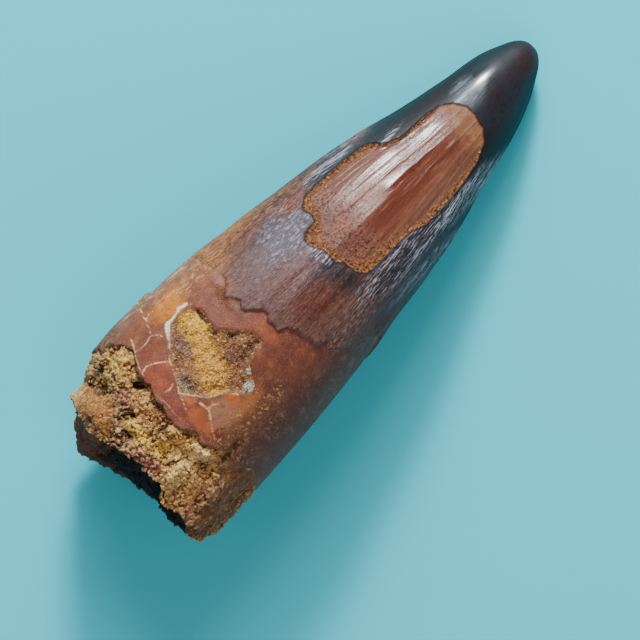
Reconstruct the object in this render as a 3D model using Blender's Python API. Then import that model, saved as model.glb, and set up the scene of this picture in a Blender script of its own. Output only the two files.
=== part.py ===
# A fossil dinosaur tooth: one solid, a stout cone with a fluted enamel crown and a root
# snapped off rough at its wide end, lying on its side.
# +X runs along the tooth to its tip, +Z is up, and the origin is under its middle on the surface.
# Sizes below are in millimetres. A "station" is a distance along the tooth from the far point
# of its broken root, an "angle" is measured round the tooth in degrees from its top line and
# positive towards +Y, and a "side" is a distance towards +Y seen from above.

import math

import bpy
import numpy as np

MM = 0.001

# Driving dimensions
TIP_STATION = 86.4
ORIGIN_STATION = 43.2
FLATNESS = 0.87  # thickness over width of the oval cross-section
ENAMEL_STEP = 0.35  # the crown's enamel stands this proud of the root
WINDOW_DEPTH = 0.5  # bare dentine under the enamel that has flaked off
CRUST_DEPTH = 0.5  # the sandy patch on the root lies this far below its skin
BREAK_DEPTH = 1.1  # root skin lost round the broken end
WORN_DEPTH = 1.1  # more lost on the +Y side of the end
FLAKE_RISE = 0.5  # a lifted flake of root skin on the +Y side
FILL_DEPTH = 0.8  # the stone filling the root's hollow is broken off this far inside its wall
CARINA_HEIGHT = 0.22  # the cutting ridge down each side of the crown
TRIANGLES = 9400

# (distance from the tip, half of the width)
HALF_WIDTHS = [
    (0, 0), (1.5, 2.3), (3.6, 3.3), (5.7, 4.05), (10, 5.35), (14.2, 6.35), (20.5, 7.75), (26.9, 9.45),
    (33.2, 10.7), (41.7, 12.0), (50.1, 13.5), (58.9, 14.45), (67.4, 14.8), (75, 15.0), (86.4, 15.1),
]
# (station, side, height) of the middle line
MIDDLE_SIDES = [(0, -0.2), (16, -0.1), (31, 0.15), (40, -0.05), (46, -0.1), (64, -0.3), (76, -0.25), (86.4, 0.5)]
MIDDLE_HEIGHTS = [
    (0, 13.1), (10, 13.05), (20, 12.75), (32, 12.15), (44, 10.65), (57, 8.9), (66, 7.2), (74, 5.65),
    (80, 4.5), (86.4, 3.3),
]
# (angle, station) of the broken rim
BROKEN_RIM = [
    (-180, 2.4), (-170, 2.8), (-157, 3.6), (-148, 3.2), (-138, 4.3), (-117, 4.0), (-100, 4.2),
    (-80, 4.0), (-63, 3.0), (-53, 3.2), (-42, 3.6), (-28, 3.4), (-21, 5.0), (-15, 5.8), (-8, 5.0),
    (2, 4.5), (11, 4.0), (22, 3.8), (39, 4.0), (58, 5.0), (78, 5.4), (98, 5.0), (112, 4.4),
    (125, 3.2), (137, 1.6), (148, 0.5), (157, 0.2), (163, 0.6), (170, 1.7), (180, 2.2),
]
# (angle, station) of the edge where the root's skin ends and the rough break begins
SKIN_EDGE = [
    (-180, 10.5), (-150, 12.4), (-120, 11.2), (-90, 13.0), (-72, 14.2), (-55, 16.0), (-43, 15.0),
    (-36, 15.6), (-27, 14.6), (-21, 13.9), (-15, 14.2), (-7, 13.6), (0, 13.4), (8, 13.7),
    (15, 13.9), (23, 14.3), (30, 14.2), (38, 15.5), (46, 16.5), (54, 16.1), (61, 13.6), (69, 9.6),
    (90, 9.0), (120, 9.6), (150, 12.0), (180, 10.5),
]
# (angle, station) of the crown's jagged lower edge
ENAMEL_EDGE = [
    (-180, 34.5), (-140, 33.2), (-120, 33.8), (-80, 41.4), (-66, 41.0), (-58, 38.4), (-52, 37.9),
    (-47, 36.7), (-39, 35.0), (-34.5, 35.7), (-32, 34.8), (-28, 34.0), (-15, 33.8), (-10.5, 33.2),
    (-8, 32.0), (0.5, 32.1), (2.5, 32.9), (6, 32.6), (9.5, 31.9), (12.5, 30.8), (15, 30.7),
    (19, 31.4), (23.5, 30.9), (27, 30.2), (31, 31.3), (36, 32.2), (46, 32.3), (60, 31.5), (90, 31.0),
    (130, 32.6), (180, 34.5),
]
# (station, side) of outlines seen from above
WINDOW_OUTLINE = [
    (46.6, 7.5), (48.2, 8.4), (53, 8.3), (58.5, 7.6), (59.8, 7.2), (61, 5.7), (63.5, 4.6),
    (68.5, 4.3), (70.8, 3.8), (72.3, 2.7), (73.2, 1.2), (73.2, -0.6), (72.6, -2.6), (71.4, -4.0),
    (68.4, -5.4), (64, -6.1), (57, -6.3), (54.8, -5.4), (46.5, -5.2), (45.5, -3.8), (45.3, -1.8),
    (44.5, -1), (44.5, 1.6), (43.7, 2.6), (43.6, 4.2), (44.4, 4.9), (46.6, 5.0), (46.9, 5.8),
]
CRUST_OUTLINE = [
    (22.3, 9.3), (26, 9.2), (26.9, 7.4), (26.2, 4.6), (27.6, 3.0), (29.8, 0.6), (29.6, -1.5),
    (26.2, -2.0), (24.6, -4.6), (23, -5.1), (21.3, -2.8), (19.8, -1.8), (18, 0), (16.8, 1.9),
    (17.8, 3.4), (18.8, 5.8), (20.4, 7.4),
]
# (station, side, radius along, radius across, depth) of hollows in the top
PITS = [
    (9.4, 11.8, 1.5, 1.3, 2.2), (13.3, 7.1, 0.9, 0.8, 1.1), (9.2, 5.3, 1.0, 0.6, 0.9),
    (7.3, 3.4, 0.8, 0.9, 1.0), (5.6, -4.6, 1.1, 1.0, 1.2), (6.5, -8.6, 1.4, 0.7, 0.6),
    (11.6, -7.2, 1.0, 0.5, 0.7), (4.6, 8.9, 0.7, 1.1, 0.5), (16.9, -8.8, 0.7, 0.5, 0.6),
    (10.6, 0.6, 0.9, 0.9, 0.6), (21.8, 3.6, 1.4, 1.0, 0.35), (12.8, -10.6, 1.0, 0.8, 0.7),
]
# (station, side, radius along, radius across, height) of rises in the top
LUMPS = [
    (8.6, 3.0, 1.2, 1.7, 0.8), (8.2, -5.2, 1.9, 2.0, 0.9), (12.6, -5.9, 1.0, 1.3, 0.7),
    (6.4, 8.6, 2.0, 2.8, 0.8), (11.4, 4.6, 1.2, 1.6, 0.6), (6.4, -0.8, 1.1, 1.8, 0.7),
    (14.0, 11.0, 1.3, 1.2, 0.5), (23.6, -4.3, 0.9, 0.6, 0.5), (24.6, 7.0, 1.0, 1.8, 0.45),
    (11.5, -1.6, 1.4, 1.0, 0.7), (9.2, -10.6, 1.8, 1.3, 0.8), (27.8, 0.4, 1.3, 0.9, 0.4),
    (6.4, -12.6, 1.2, 1.2, 0.6), (21.4, 0.6, 1.6, 0.8, 0.35),
]
# (station and side of one end, station and side of the other, width, height) of long creases
CREASES = [
    (45.5, 0.3, 72.0, 0.9, 1.5, 0.42), (45.0, 4.6, 62.0, 4.4, 0.9, 0.16),
    (47.0, -3.2, 70.0, -2.6, 1.0, 0.14), (52.0, 2.6, 66.0, 2.7, 0.6, 0.1),
]


def curve_through(knots, at):
    # a smooth curve through the knots, with each knot's slope taken from its neighbours
    places, values = np.array(knots, float).T
    slopes = np.gradient(values, places)
    at = np.clip(at, places[0], places[-1])
    left = np.clip(np.searchsorted(places, at, side="right") - 1, 0, len(places) - 2)
    gap = places[left + 1] - places[left]
    share = (at - places[left]) / gap
    rest = 1 - share
    ends = values[left] * (1 + 2 * share) * rest**2 + values[left + 1] * (1 + 2 * rest) * share**2
    return ends + gap * share * rest * (slopes[left] * rest - slopes[left + 1] * share)


def ramp(value, start, end):
    # 0 before start and 1 after end, with an eased rise between them
    share = np.clip((value - start) / (end - start), 0, 1)
    return share * share * (3 - 2 * share)


def bump(*scaled_offsets):
    return np.exp(-sum(offset**2 for offset in scaled_offsets))


def noise(points, cell, seed):
    # value noise from -1 to 1: a fixed random number at each corner of a grid of cells, blended
    scaled = points / cell
    corner = np.floor(scaled).astype(np.int64)
    part = scaled - corner
    part = part**3 * (part * (part * 6 - 15) + 10)
    total = np.zeros(points.shape[:-1])
    for shift in np.ndindex(2, 2, 2):
        x, y, z = np.moveaxis(corner + shift, -1, 0)
        mixed = (x * 73856093) ^ (y * 19349663) ^ (z * 83492791) ^ (seed * 2654435761)
        mixed = ((mixed ^ (mixed >> 13)) * 1274126177) & 0xFFFFFFFF
        mixed = ((mixed ^ (mixed >> 15)) * 2246822519) & 0xFFFFFFFF
        weight = np.prod(np.where(shift, part, 1 - part), axis=-1)
        total += weight * ((mixed >> 8) & 0xFFFF) / 0x7FFF
    return total - 1


def drift(points, cell, seed):
    # a noise of its own for each of the three directions
    return np.stack([noise(points, cell, seed + axis) for axis in range(3)], axis=-1)


def half_width_at(station):
    square = curve_through([(gap, width**2) for gap, width in HALF_WIDTHS], TIP_STATION - station)
    return np.sqrt(np.maximum(square, 0))


def unrolled(station, angle):
    # distance round the surface from the top line
    return np.radians(angle) * half_width_at(station) * (1 + FLATNESS) / 2


def unrolled_from_above(places):
    # places seen from above, laid out as (station, distance round from the top line)
    station, side = np.array(places, float).T
    share = (side - curve_through(MIDDLE_SIDES, station)) / half_width_at(station)
    return np.stack([station, unrolled(station, np.degrees(np.arcsin(share)))], axis=1)


def distance_to(path, station, around):
    # shortest distance from each point to a path of straight pieces
    nearest = np.full(station.shape, np.inf)
    for (x0, v0), (x1, v1) in zip(path[:-1], path[1:]):
        dx, dv = x1 - x0, v1 - v0
        share = np.clip(((station - x0) * dx + (around - v0) * dv) / (dx * dx + dv * dv), 0, 1)
        nearest = np.minimum(nearest, np.hypot(station - x0 - share * dx, around - v0 - share * dv))
    return nearest


def depth_inside(outline, station, around):
    # distance in from a closed outline's edge, negative outside it
    path = unrolled_from_above(outline + outline[:1])
    inside = np.zeros(station.shape, bool)
    for (x0, v0), (x1, v1) in zip(path[:-1], path[1:]):
        if v0 != v1:
            crosses = (v0 > around) != (v1 > around)
            inside ^= crosses & (station < x0 + (around - v0) * (x1 - x0) / (v1 - v0))
    return np.where(inside, 1, -1) * distance_to(path, station, around)


def depth_beyond(edge, station, angle, around):
    # distance past an edge that circles the tooth, towards the tip, negative on the root's side
    angles, stations = np.array(edge, float).T
    path = np.stack([stations, unrolled(stations, angles)], axis=1)
    return np.sign(station - np.interp(angle, angles, stations)) * distance_to(path, station, around)


def on_oval(station, angle, proud):
    # places on the oval cross-section, moved straight out from it by the height given
    half_width = half_width_at(station)
    across, up = np.sin(np.radians(angle)), np.cos(np.radians(angle))
    out_side, out_up = across * FLATNESS, up
    length = np.hypot(out_side, out_up)
    side = curve_through(MIDDLE_SIDES, station) + half_width * across + proud * out_side / length
    height = curve_through(MIDDLE_HEIGHTS, station) + half_width * FLATNESS * up + proud * out_up / length
    return np.stack([station, side, height], axis=-1)


class Marks:
    # how far each place on the smooth wall is inside each mark on the tooth

    def __init__(self, station, angle):
        self.station, self.angle = station, angle
        self.around = unrolled(station, angle)
        self.places = on_oval(station, angle, 0)
        wobble = 0.35 * noise(self.places, 1.6, 3) + 0.25 * noise(self.places, 0.8, 4)
        on_top = np.abs(angle) < 88
        self.past_break = depth_beyond(SKIN_EDGE, station, angle, self.around) + wobble
        self.past_enamel = depth_beyond(ENAMEL_EDGE, station, angle, self.around)
        self.in_window = np.where(on_top, depth_inside(WINDOW_OUTLINE, station, self.around), -9)
        self.in_crust = np.where(on_top, depth_inside(CRUST_OUTLINE, station, self.around), -9) + wobble / 2
        self.rough = ramp(-self.past_break, 0, 0.5)

    def relief(self):
        # height of the finished surface over the smooth wall
        station, angle, places = self.station, self.angle, self.places
        enamel, window = ramp(self.past_enamel, -0.1, 0.3), ramp(self.in_window, -0.05, 0.5)
        height = ENAMEL_STEP * enamel - WINDOW_DEPTH * window
        height -= CRUST_DEPTH * ramp(self.in_crust, -0.1, 0.5)
        height += 0.25 * ramp(self.in_crust, 0, 0.6) * noise(places, 1.3, 11)
        sides = bump((np.abs(angle) - 90) / 5)
        height += CARINA_HEIGHT * enamel * sides * ramp(station, 42, 56)
        stretched = np.stack([station * 0.03, self.around, np.zeros(station.shape)], axis=-1)
        height += 0.08 * noise(stretched, 1.1, 31) * enamel * (1 - window) * ramp(-station, -83, -70)
        for x0, y0, x1, y1, width, rise in CREASES:
            line = unrolled_from_above([(x0, y0), (x1, y1)])
            height += rise * np.exp(-distance_to(line, station, self.around) / width) * window

        whole_side = 1 - 0.85 * bump((angle + 82) / 30)
        worn_side = ramp(angle, 38, 62) * ramp(-angle, -150, -115)
        height -= (BREAK_DEPTH * whole_side + WORN_DEPTH * worn_side * ramp(-station, -11, -7)) * self.rough
        flaked = ramp(angle, 45, 62) * ramp(-angle, -128, -112) * (1 - self.rough)
        height += FLAKE_RISE * flaked * ramp(station, 10, 17) * ramp(-station, -23.5, -23.1)
        for marks, way in ((PITS, -1), (LUMPS, 1)):
            for x, y, along, across, size in marks:
                away = (station - x) / along, (places[..., 1] - y) / across
                height += way * size * bump(*away) * (np.abs(angle) < 88)
        return height


def tooth_grid(stations, angles, end_shares):
    # Rings of places from the tip to the broken rim, then rings that close the broken end.
    # The last few millimetres of the wall follow the rim's own uneven line.
    angle = np.broadcast_to(angles, (len(stations), len(angles)))
    rim = curve_through(BROKEN_RIM, angles)
    station = stations[:, None] + rim * ramp(-stations, -20, 0)[:, None]
    marks = Marks(station, angle)
    wall = on_oval(station, angle, marks.relief())

    share = end_shares[:, None]
    middle_side, middle_height = wall[-1, :, 1].mean(), wall[-1, :, 2].mean()
    side = middle_side + share * (wall[-1, :, 1] - middle_side)
    height = middle_height + share * (wall[-1, :, 2] - middle_height)
    core = 2.6 - 1.4 * bump((side - 6) / 4, (height - 6) / 9) + 1.6 * bump((side + 2) / 6, (height - 18) / 5)
    core += FILL_DEPTH * ramp(0.58 + 0.06 * noise(wall[-1] / 4, 1, 71) - share, 0, 0.08)
    inward = ramp(1 - share, 0, 0.45)
    end = np.stack([rim * (1 - inward) + core * inward, side, height], axis=-1)

    grid = np.concatenate([wall, end])
    rough = np.concatenate([marks.rough, np.ones(end.shape[:2])])[..., None]
    grid += rough * (0.6 * drift(grid, 3.6, 41) + 0.42 * drift(grid, 1.7, 51) + 0.2 * drift(grid, 0.9, 61))
    return grid


def grid_faces(rings, segments):
    # squares between rings, and a fan of triangles to each of the two end points
    ring, segment = np.meshgrid(np.arange(rings - 1), np.arange(segments), indexing="ij")
    here, onward = ring * segments + segment, ring * segments + (segment + 1) % segments
    squares = np.stack([here, onward, onward + segments, here + segments], axis=2).reshape(-1, 4)
    first, last = rings * segments, rings * segments + 1
    around = np.arange(segments)
    after, base = (around + 1) % segments, (rings - 1) * segments
    tip_fan = np.stack([np.full(segments, first), after, around], axis=1)
    end_fan = np.stack([np.full(segments, last), base + around, base + after], axis=1)
    return squares.tolist() + tip_fan.tolist() + end_fan.tolist()


def tooth_material():
    material = bpy.data.materials.new("fossil_tooth")
    material.use_nodes = True
    shader = material.node_tree.nodes["Principled BSDF"]
    shader.inputs["Base Color"].default_value = (0.15, 0.055, 0.03, 1)
    shader.inputs["Roughness"].default_value = 0.4
    shader.inputs["Metallic"].default_value = 0
    return material


def dense_tooth():
    # the whole surface in fine squares, and how many triangles they come to
    tip_rings = TIP_STATION - 4 * (np.arange(1, 11) / 10) ** 2
    crown_rings = np.linspace(TIP_STATION - 4, 32, 100)[1:]
    root_rings = np.linspace(32, 0, 100)[1:]
    stations = np.concatenate([tip_rings, crown_rings, root_rings])
    angles = np.linspace(-180, 180, 201)[:-1]
    grid = tooth_grid(stations, angles, np.linspace(1, 0, 34)[1:-1])
    tip = [[TIP_STATION, grid[0, :, 1].mean(), grid[0, :, 2].mean()]]
    places = np.concatenate([grid.reshape(-1, 3), tip, grid[-1].mean(axis=0)[None]])
    places[:, 2] = np.maximum(places[:, 2], 0)  # the resting flat
    faces = grid_faces(len(grid), len(angles))
    mesh = bpy.data.meshes.new("tooth_dense")
    mesh.from_pydata(((places - [ORIGIN_STATION, 0, 0]) * MM).tolist(), [], faces)
    mesh.materials.append(tooth_material())
    return mesh, sum(len(face) - 2 for face in faces)


def make_tooth():
    # the dense surface thinned to the triangles its shape needs
    mesh, dense_total = dense_tooth()
    dense = bpy.data.objects.new("tooth_dense", mesh)
    bpy.context.scene.collection.objects.link(dense)
    thinned = dense.modifiers.new("thin", "DECIMATE")
    thinned.ratio = TRIANGLES / dense_total
    thinned.use_collapse_triangulate = True
    bpy.context.view_layer.update()
    final = bpy.data.meshes.new_from_object(dense.evaluated_get(bpy.context.evaluated_depsgraph_get()))
    bpy.data.objects.remove(dense)
    for vertex in final.vertices:
        if vertex.co.z < 0.06 * MM:
            vertex.co.z = 0
    final.name = "tooth"
    final.shade_smooth()
    final.set_sharp_from_angle(angle=math.radians(38))
    bpy.context.scene.collection.objects.link(bpy.data.objects.new("tooth", final))


for leftover in list(bpy.data.objects):
    bpy.data.objects.remove(leftover)
make_tooth()
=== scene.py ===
# A fossil dinosaur tooth lying on its side: a fluted enamel crown with the enamel flaked off one
# face, and a root that is snapped off rough and crusted with sandstone.
# Shape numbers are millimetres. A "station" is a distance along the tooth from its broken end,
# an "angle" is measured round it in degrees from its top line and positive towards +Y, and a
# "side" is a distance towards +Y seen from above.

import math

import bpy
import numpy as np
from mathutils import Matrix, Vector


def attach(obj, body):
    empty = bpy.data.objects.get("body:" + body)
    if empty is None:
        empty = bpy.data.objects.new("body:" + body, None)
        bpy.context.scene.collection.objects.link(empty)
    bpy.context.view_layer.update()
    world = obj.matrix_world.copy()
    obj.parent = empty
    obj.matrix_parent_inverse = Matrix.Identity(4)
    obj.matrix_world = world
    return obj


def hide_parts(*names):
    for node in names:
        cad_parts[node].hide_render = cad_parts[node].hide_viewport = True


mm = 0.001
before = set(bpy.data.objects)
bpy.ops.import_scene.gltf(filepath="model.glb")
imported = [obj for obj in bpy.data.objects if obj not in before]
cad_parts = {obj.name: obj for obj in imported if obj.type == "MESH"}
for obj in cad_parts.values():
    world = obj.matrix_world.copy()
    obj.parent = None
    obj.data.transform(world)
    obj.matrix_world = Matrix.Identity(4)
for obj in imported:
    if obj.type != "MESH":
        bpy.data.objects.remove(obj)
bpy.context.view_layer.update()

toothForm = {
    "tip": 86.4,  # station of the tip
    "origin": 43.2,  # station that lies over the frame's origin
    "flatness": 0.87,  # thickness over width of the oval cross-section
    "halfWidths": [  # distance from the tip, half of the width
        (0, 0), (1.5, 2.15), (3.6, 3.15), (5.7, 4), (10, 5.35), (14.2, 6.35), (20.5, 7.75), (26.9, 9.45),
        (33.2, 10.7), (41.7, 12), (50.1, 13.5), (58.9, 14.45), (67.4, 14.8), (75, 15), (86.4, 15.1),
    ],
    "middleSides": [  # station, side of the middle line
        (0, -0.2), (16, -0.1), (31, 0.15), (40, -0.05), (46, -0.1), (64, -0.3), (76, -0.25), (86.4, 0.5),
    ],
    "middleHeights": [  # station, height of the middle line
        (0, 13.1), (10, 13.05), (20, 12.75), (32, 12.15), (44, 10.65), (57, 8.9), (66, 7.2), (74, 5.65),
        (80, 4.5), (86.4, 3.3),
    ],
    "brokenRim": [  # angle, station
        (-180, 2.4), (-170, 2.8), (-157, 3.6), (-148, 3.2), (-138, 4.3), (-117, 4.6), (-100, 5.2),
        (-80, 4.9), (-66, 3.3), (-55, 3.1), (-44, 4.5), (-38, 4.7), (-28, 4.2), (-21, 5.6), (-15, 6.4),
        (-8, 5.9), (2, 5.3), (11, 4.8), (22, 4.3), (39, 4.1), (58, 5), (78, 5.4), (98, 5), (112, 4.4),
        (125, 3.2), (137, 1.6), (148, 0.5), (157, 0.2), (163, 0.6), (170, 1.7), (180, 2.2),
    ],
    "skinEdge": [  # angle, station where the root's skin ends and the rough break begins
        (-180, 10.5), (-150, 12.4), (-120, 11.2), (-90, 13), (-72, 14.2), (-55, 16), (-43, 15), (-36, 15.6),
        (-27, 14.6), (-21, 13.9), (-15, 14.2), (-7, 13.6), (0, 13.4), (8, 13.7), (15, 13.9), (23, 14.3),
        (30, 14.2), (38, 15.5), (46, 16.5), (54, 16.1), (61, 14.6), (69, 13.4), (90, 12), (120, 11),
        (150, 12), (180, 10.5),
    ],
    "enamelEdge": [  # angle, station of the crown's jagged lower edge
        (-180, 34.5), (-140, 33.2), (-120, 33.8), (-80, 41.4), (-66, 41), (-58, 38.4), (-52, 37.9),
        (-47, 36.7), (-39, 35), (-34.5, 35.7), (-32, 34.8), (-28, 34), (-15, 33.8), (-10.5, 33.2), (-8, 32),
        (0.5, 32.1), (2.5, 32.9), (6, 32.6), (9.5, 31.9), (12.5, 30.8), (15, 30.7), (19, 31.4),
        (23.5, 30.9), (27, 30.2), (31, 31.3), (36, 32.2), (46, 32.3), (60, 31.5), (90, 31), (130, 32.6),
        (180, 34.5),
    ],
    "enamelStep": 0.35,  # the enamel stands this proud of the root
    "wornStep": 0.95,  # share of it that is worn away on the +Y side beside the root
    "wornStepAngles": (28, 46, 100, 125),  # where that begins, is full, is full last and ends
    "wornStepStations": (36, 42),
    "carina": 0.22,  # height of the cutting ridge down each side of the crown
    "carinaStations": (42, 56, 80, 86),
    "fluteStations": (60, 76),  # the flutes fade out between these
    "breakDepth": 1.1,  # root skin lost round the broken end
    "wornDepth": 1.1,  # more lost on its +Y side
    "wornAngles": (38, 62, 115, 150),
    "wholeSide": (-78, 36, 0.9),  # angle, reach and share of the depth that is not lost there
    "lostAtEdge": (0.35, 0.45, 30, 26),  # share lost right at the edge: all round, more, angle, reach
    "flakeRise": 0.5,  # a lifted flake of root skin on the +Y side
    "flakeAngles": (45, 62, 112, 128),
    "flakeStations": (10, 17, 23.1, 23.5),
    "fillDepth": 0.8,  # the stone filling the root's hollow is broken off this far inside its wall
    "swellings": [(79.2, 2.2, 4.4, 3.6, 0.5)],  # station, side, reach along, reach across, height
}

# outlines seen from above, as (station, side)
windowForm = {
    "depth": 0.5,  # bare dentine lies this far under the enamel
    "bevel": 0.7,  # share of the depth that the far end's slope up to the enamel takes back
    "bevelStations": (67, 71),
    "outline": [
        (46.6, 7.5), (48.2, 8.4), (53, 8.3), (58.5, 7.6), (59.8, 7.2), (61, 5.7), (63.5, 4.6), (68.5, 4.3),
        (70.8, 3.8), (72.3, 2.7), (73.2, 1.2), (73.2, -0.6), (72.6, -2.6), (71.4, -4), (68.4, -5.4),
        (64, -6.1), (57, -6.3), (54.8, -5.4), (46.5, -5.2), (45.5, -3.8), (45.3, -1.8), (44.5, -1),
        (44.5, 1.6), (43.7, 2.6), (43.6, 4.2), (44.4, 4.9), (46.6, 5), (46.9, 5.8),
    ],
    "creases": [  # width, height and path of each ridge that the flaking left
        (1.3, 0.34, [(44.6, 0.5), (48, 0.5), (50, 0.2), (54, 0.15), (57, 0.05)]),
        (1.3, 0.34, [(57, 1), (59, 0.95), (61, 0.85), (63, 0.6), (66, 0.35), (69, 0.2), (72.4, 0.2)]),
        (0.6, 0.12, [(46.4, 4.8), (52, 5.1), (58, 4.9), (61, 4.5)]),
        (0.3, 0.12, [(50.5, 3.2), (54, 3), (58, 2.6), (61.4, 2.4)]),
        (0.3, 0.07, [(62, 2.2), (66, 1.9), (70, 1.9)]), (0.22, 0.05, [(47, 5.9), (50, 5.6), (53, 5.7)]),
        (0.22, 0.06, [(49.6, 0.45), (54, 0.35), (57, 0.3), (60.5, 0.1)]),
        (0.7, 0.05, [(55, -1.2), (60, -1.2), (66, -1.2), (69.6, -0.5)]),
        (0.25, 0.1, [(61.8, -1.1), (63.4, -1.2), (65, -1.2)]),
        (0.3, 0.14, [(67.3, -1.1), (68.6, -1), (69.6, -0.6)]),
        (1, 0.12, [(47, -3.2), (58, -3.4), (70, -2.6)]),
    ],
}

crustForm = {
    "depth": 0.5,  # the sandy patch lies this far below the root's skin
    "lumpy": (0.25, 0.16),  # height of its lumps and of its chips
    "outline": [
        (22.3, 9.3), (26, 9.2), (26.9, 7.4), (26.2, 4.6), (27.6, 3), (29.8, 0.6), (29.6, -1.5), (26.2, -2),
        (24.6, -4.6), (23, -5.1), (21.3, -2.8), (19.8, -1.8), (18, 0), (16.8, 1.9), (17.8, 3.4),
        (18.8, 5.8), (20.4, 7.4),
    ],
}

pits = [  # station, side, radius along, radius across, depth
    (9.4, 11.8, 1.5, 1.3, 2.2), (13.3, 7.1, 0.9, 0.8, 1.1), (9.2, 5.3, 1, 0.6, 0.9),
    (7.3, 3.4, 0.8, 0.9, 1), (5.6, -4.6, 1.1, 1, 1.2), (6.5, -8.6, 1.4, 0.7, 0.6),
    (11.6, -7.2, 1, 0.5, 0.7), (4.6, 8.9, 0.7, 1.1, 0.5), (16.9, -8.8, 0.7, 0.5, 0.6),
    (10.6, 0.6, 0.9, 0.9, 0.6), (21.8, 3.6, 1.4, 1, 0.35), (12.8, -10.6, 1, 0.8, 0.7),
]
lumps = [  # station, side, radius along, radius across, height
    (8.6, 3, 1.2, 1.7, 0.8), (8.2, -5.2, 1.9, 2, 0.9), (12.6, -5.9, 1, 1.3, 0.7),
    (6.4, 8.6, 2, 2.8, 0.8), (11.4, 4.6, 1.2, 1.6, 0.6), (6.4, -0.8, 1.1, 1.8, 0.7),
    (14, 11, 1.3, 1.2, 0.5), (23.6, -4.3, 0.9, 0.6, 0.5), (24.6, 7, 1, 1.8, 0.45),
    (11.5, -1.6, 1.4, 1, 0.7), (9.2, -10.6, 1.8, 1.3, 0.8), (27.8, 0.4, 1.3, 0.9, 0.4),
    (6.4, -12.6, 1.2, 1.2, 0.6), (21.4, 0.6, 1.6, 0.8, 0.35),
]

# mineral lines on the root, each a list of (station, side, width)
veinForm = {
    "veins": [
        [(25.9, 9.9, 0.45), (25, 10.2, 0.6), (24, 9.9, 0.3), (23.2, 9.8, 0.35), (22.2, 9.8, 0.75),
         (21.6, 9.2, 0.7), (20.9, 8.3, 0.35), (20.2, 7.3, 0.45), (19.8, 6.9, 0.2), (18.8, 5.9, 0.4)],
        [(18.8, 5.9, 0.4), (18.4, 5, 0.1), (18, 4.2, 0.25), (17.6, 3.2, 0.05), (16.7, 2, 0.45),
         (17.2, 1.1, 0.15), (18.2, -0.1, 0.3), (18.8, -0.7, 0.5), (19.3, -1.4, 0.3), (20, -1.9, 0.25)],
    ],
    "white": [  # where the veins are pale: station, side, reach along and across, softness, strength
        (24.2, 10, 2.8, 1.2, 0.4, 1), (18.4, -0.3, 1.2, 1, 0.5, 0.9), (21.6, 9, 0.8, 0.8, 0.5, 0.6),
    ],
    "cracks": [
        [(21.3, 14.6, 0.12), (20.9, 13.4, 0.2), (20.3, 11.9, 0.1), (19.7, 10.5, 0.22), (18.6, 10.1, 0.08),
         (17.5, 10, 0.12), (16.5, 10.3, 0.05)],
        [(17.2, 11.9, 0.14), (16.7, 11, 0.22), (16, 10, 0.12), (15.5, 9.2, 0.25), (15.1, 8.1, 0.1),
         (14.8, 7, 0.14)],
        [(20.3, 11.9, 0.04), (21.4, 12.4, 0.1), (22.2, 12.2, 0.04)],
        [(14.2, 9.6, 0.05), (15.1, 10.4, 0.12), (16, 10, 0.05)],
        [(15.2, 3.6, 0.04), (16.1, 3.2, 0.1), (17, 3.5, 0.05)],
        [(18.8, 5.9, 0.2), (17.9, 6.7, 0.08), (17, 7.4, 0.18), (16, 7.8, 0.1), (15.2, 7.6, 0.15)],
        [(14.2, 4.6, 0.05), (14.3, 2.2, 0.14), (14.2, 0, 0.05), (14.3, -2, 0.1)],
        [(16.7, 2, 0.2), (16.1, 0.7, 0.05), (15.6, -0.4, 0.1)],
        [(17.3, -0.2, 0.15), (17.7, -1.4, 0.25), (17.8, -2.6, 0.15), (17.1, -3.5, 0.22), (16.5, -4.3, 0.08),
         (15.9, -5.1, 0.15), (15.4, -6, 0.08)],
        [(17.8, -2.6, 0.3), (18.4, -2.2, 0.2), (19.3, -3, 0.05)],
        [(19.8, -1.8, 0.2), (21, -2.2, 0.15), (21.6, -3.1, 0.25), (22.1, -4, 0.1)],
        [(18, 14.9, 0.1), (20, 14.6, 0.25), (22.6, 14.9, 0.2)],
        [(25.7, 9.9, 0.12), (26.6, 9.3, 0.05), (27, 8.2, 0.08)],
        [(19.4, 10.4, 0.06), (20.3, 9.6, 0.1), (20.9, 8.3, 0.06)],
        [(27.2, 11.3, 0.05), (28.3, 11.2, 0.12), (29.5, 12.2, 0.05)],
        [(24.2, 12.9, 0.05), (25.2, 12.4, 0.1), (26.4, 12.6, 0.05)],
    ],
}


def curveThrough(knots, at):
    # a smooth curve through the knots, with each knot's slope taken from its neighbours
    places, values = np.array(knots, float).T
    slopes = np.gradient(values, places)
    at = np.clip(at, places[0], places[-1])
    left = np.clip(np.searchsorted(places, at, side="right") - 1, 0, len(places) - 2)
    gap = places[left + 1] - places[left]
    share = (at - places[left]) / gap
    rest = 1 - share
    ends = values[left] * (1 + 2 * share) * rest**2 + values[left + 1] * (1 + 2 * rest) * share**2
    return ends + gap * share * rest * (slopes[left] * rest - slopes[left + 1] * share)


def ramp(value, start, end):
    # 0 before start and 1 after end, with an eased rise between them
    share = np.clip((value - start) / (end - start), 0, 1)
    return share * share * (3 - 2 * share)


def within(value, start, full, last, end):
    # rises from 0 at start to 1 at full, and falls again from last to end
    return ramp(value, start, full) * ramp(-value, -end, -last)


def bump(*scaledOffsets):
    # a rounded hill: 1 in the middle, falling off with the square of the distance
    return np.exp(-sum(offset**2 for offset in scaledOffsets))


def hills(spots, station, side):
    # bumps added up, each (station, side, reach along, reach across, height)
    return sum(
        size * bump((station - x) / along, (side - y) / across) for x, y, along, across, size in spots
    )


def scrambled(corner, seed):
    # a large whole number for each corner of a grid of cells, the same in every run
    x, y, z = np.moveaxis(corner, -1, 0)
    return (x * 73856093) ^ (y * 19349663) ^ (z * 83492791) ^ (seed * 2654435761)


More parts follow.
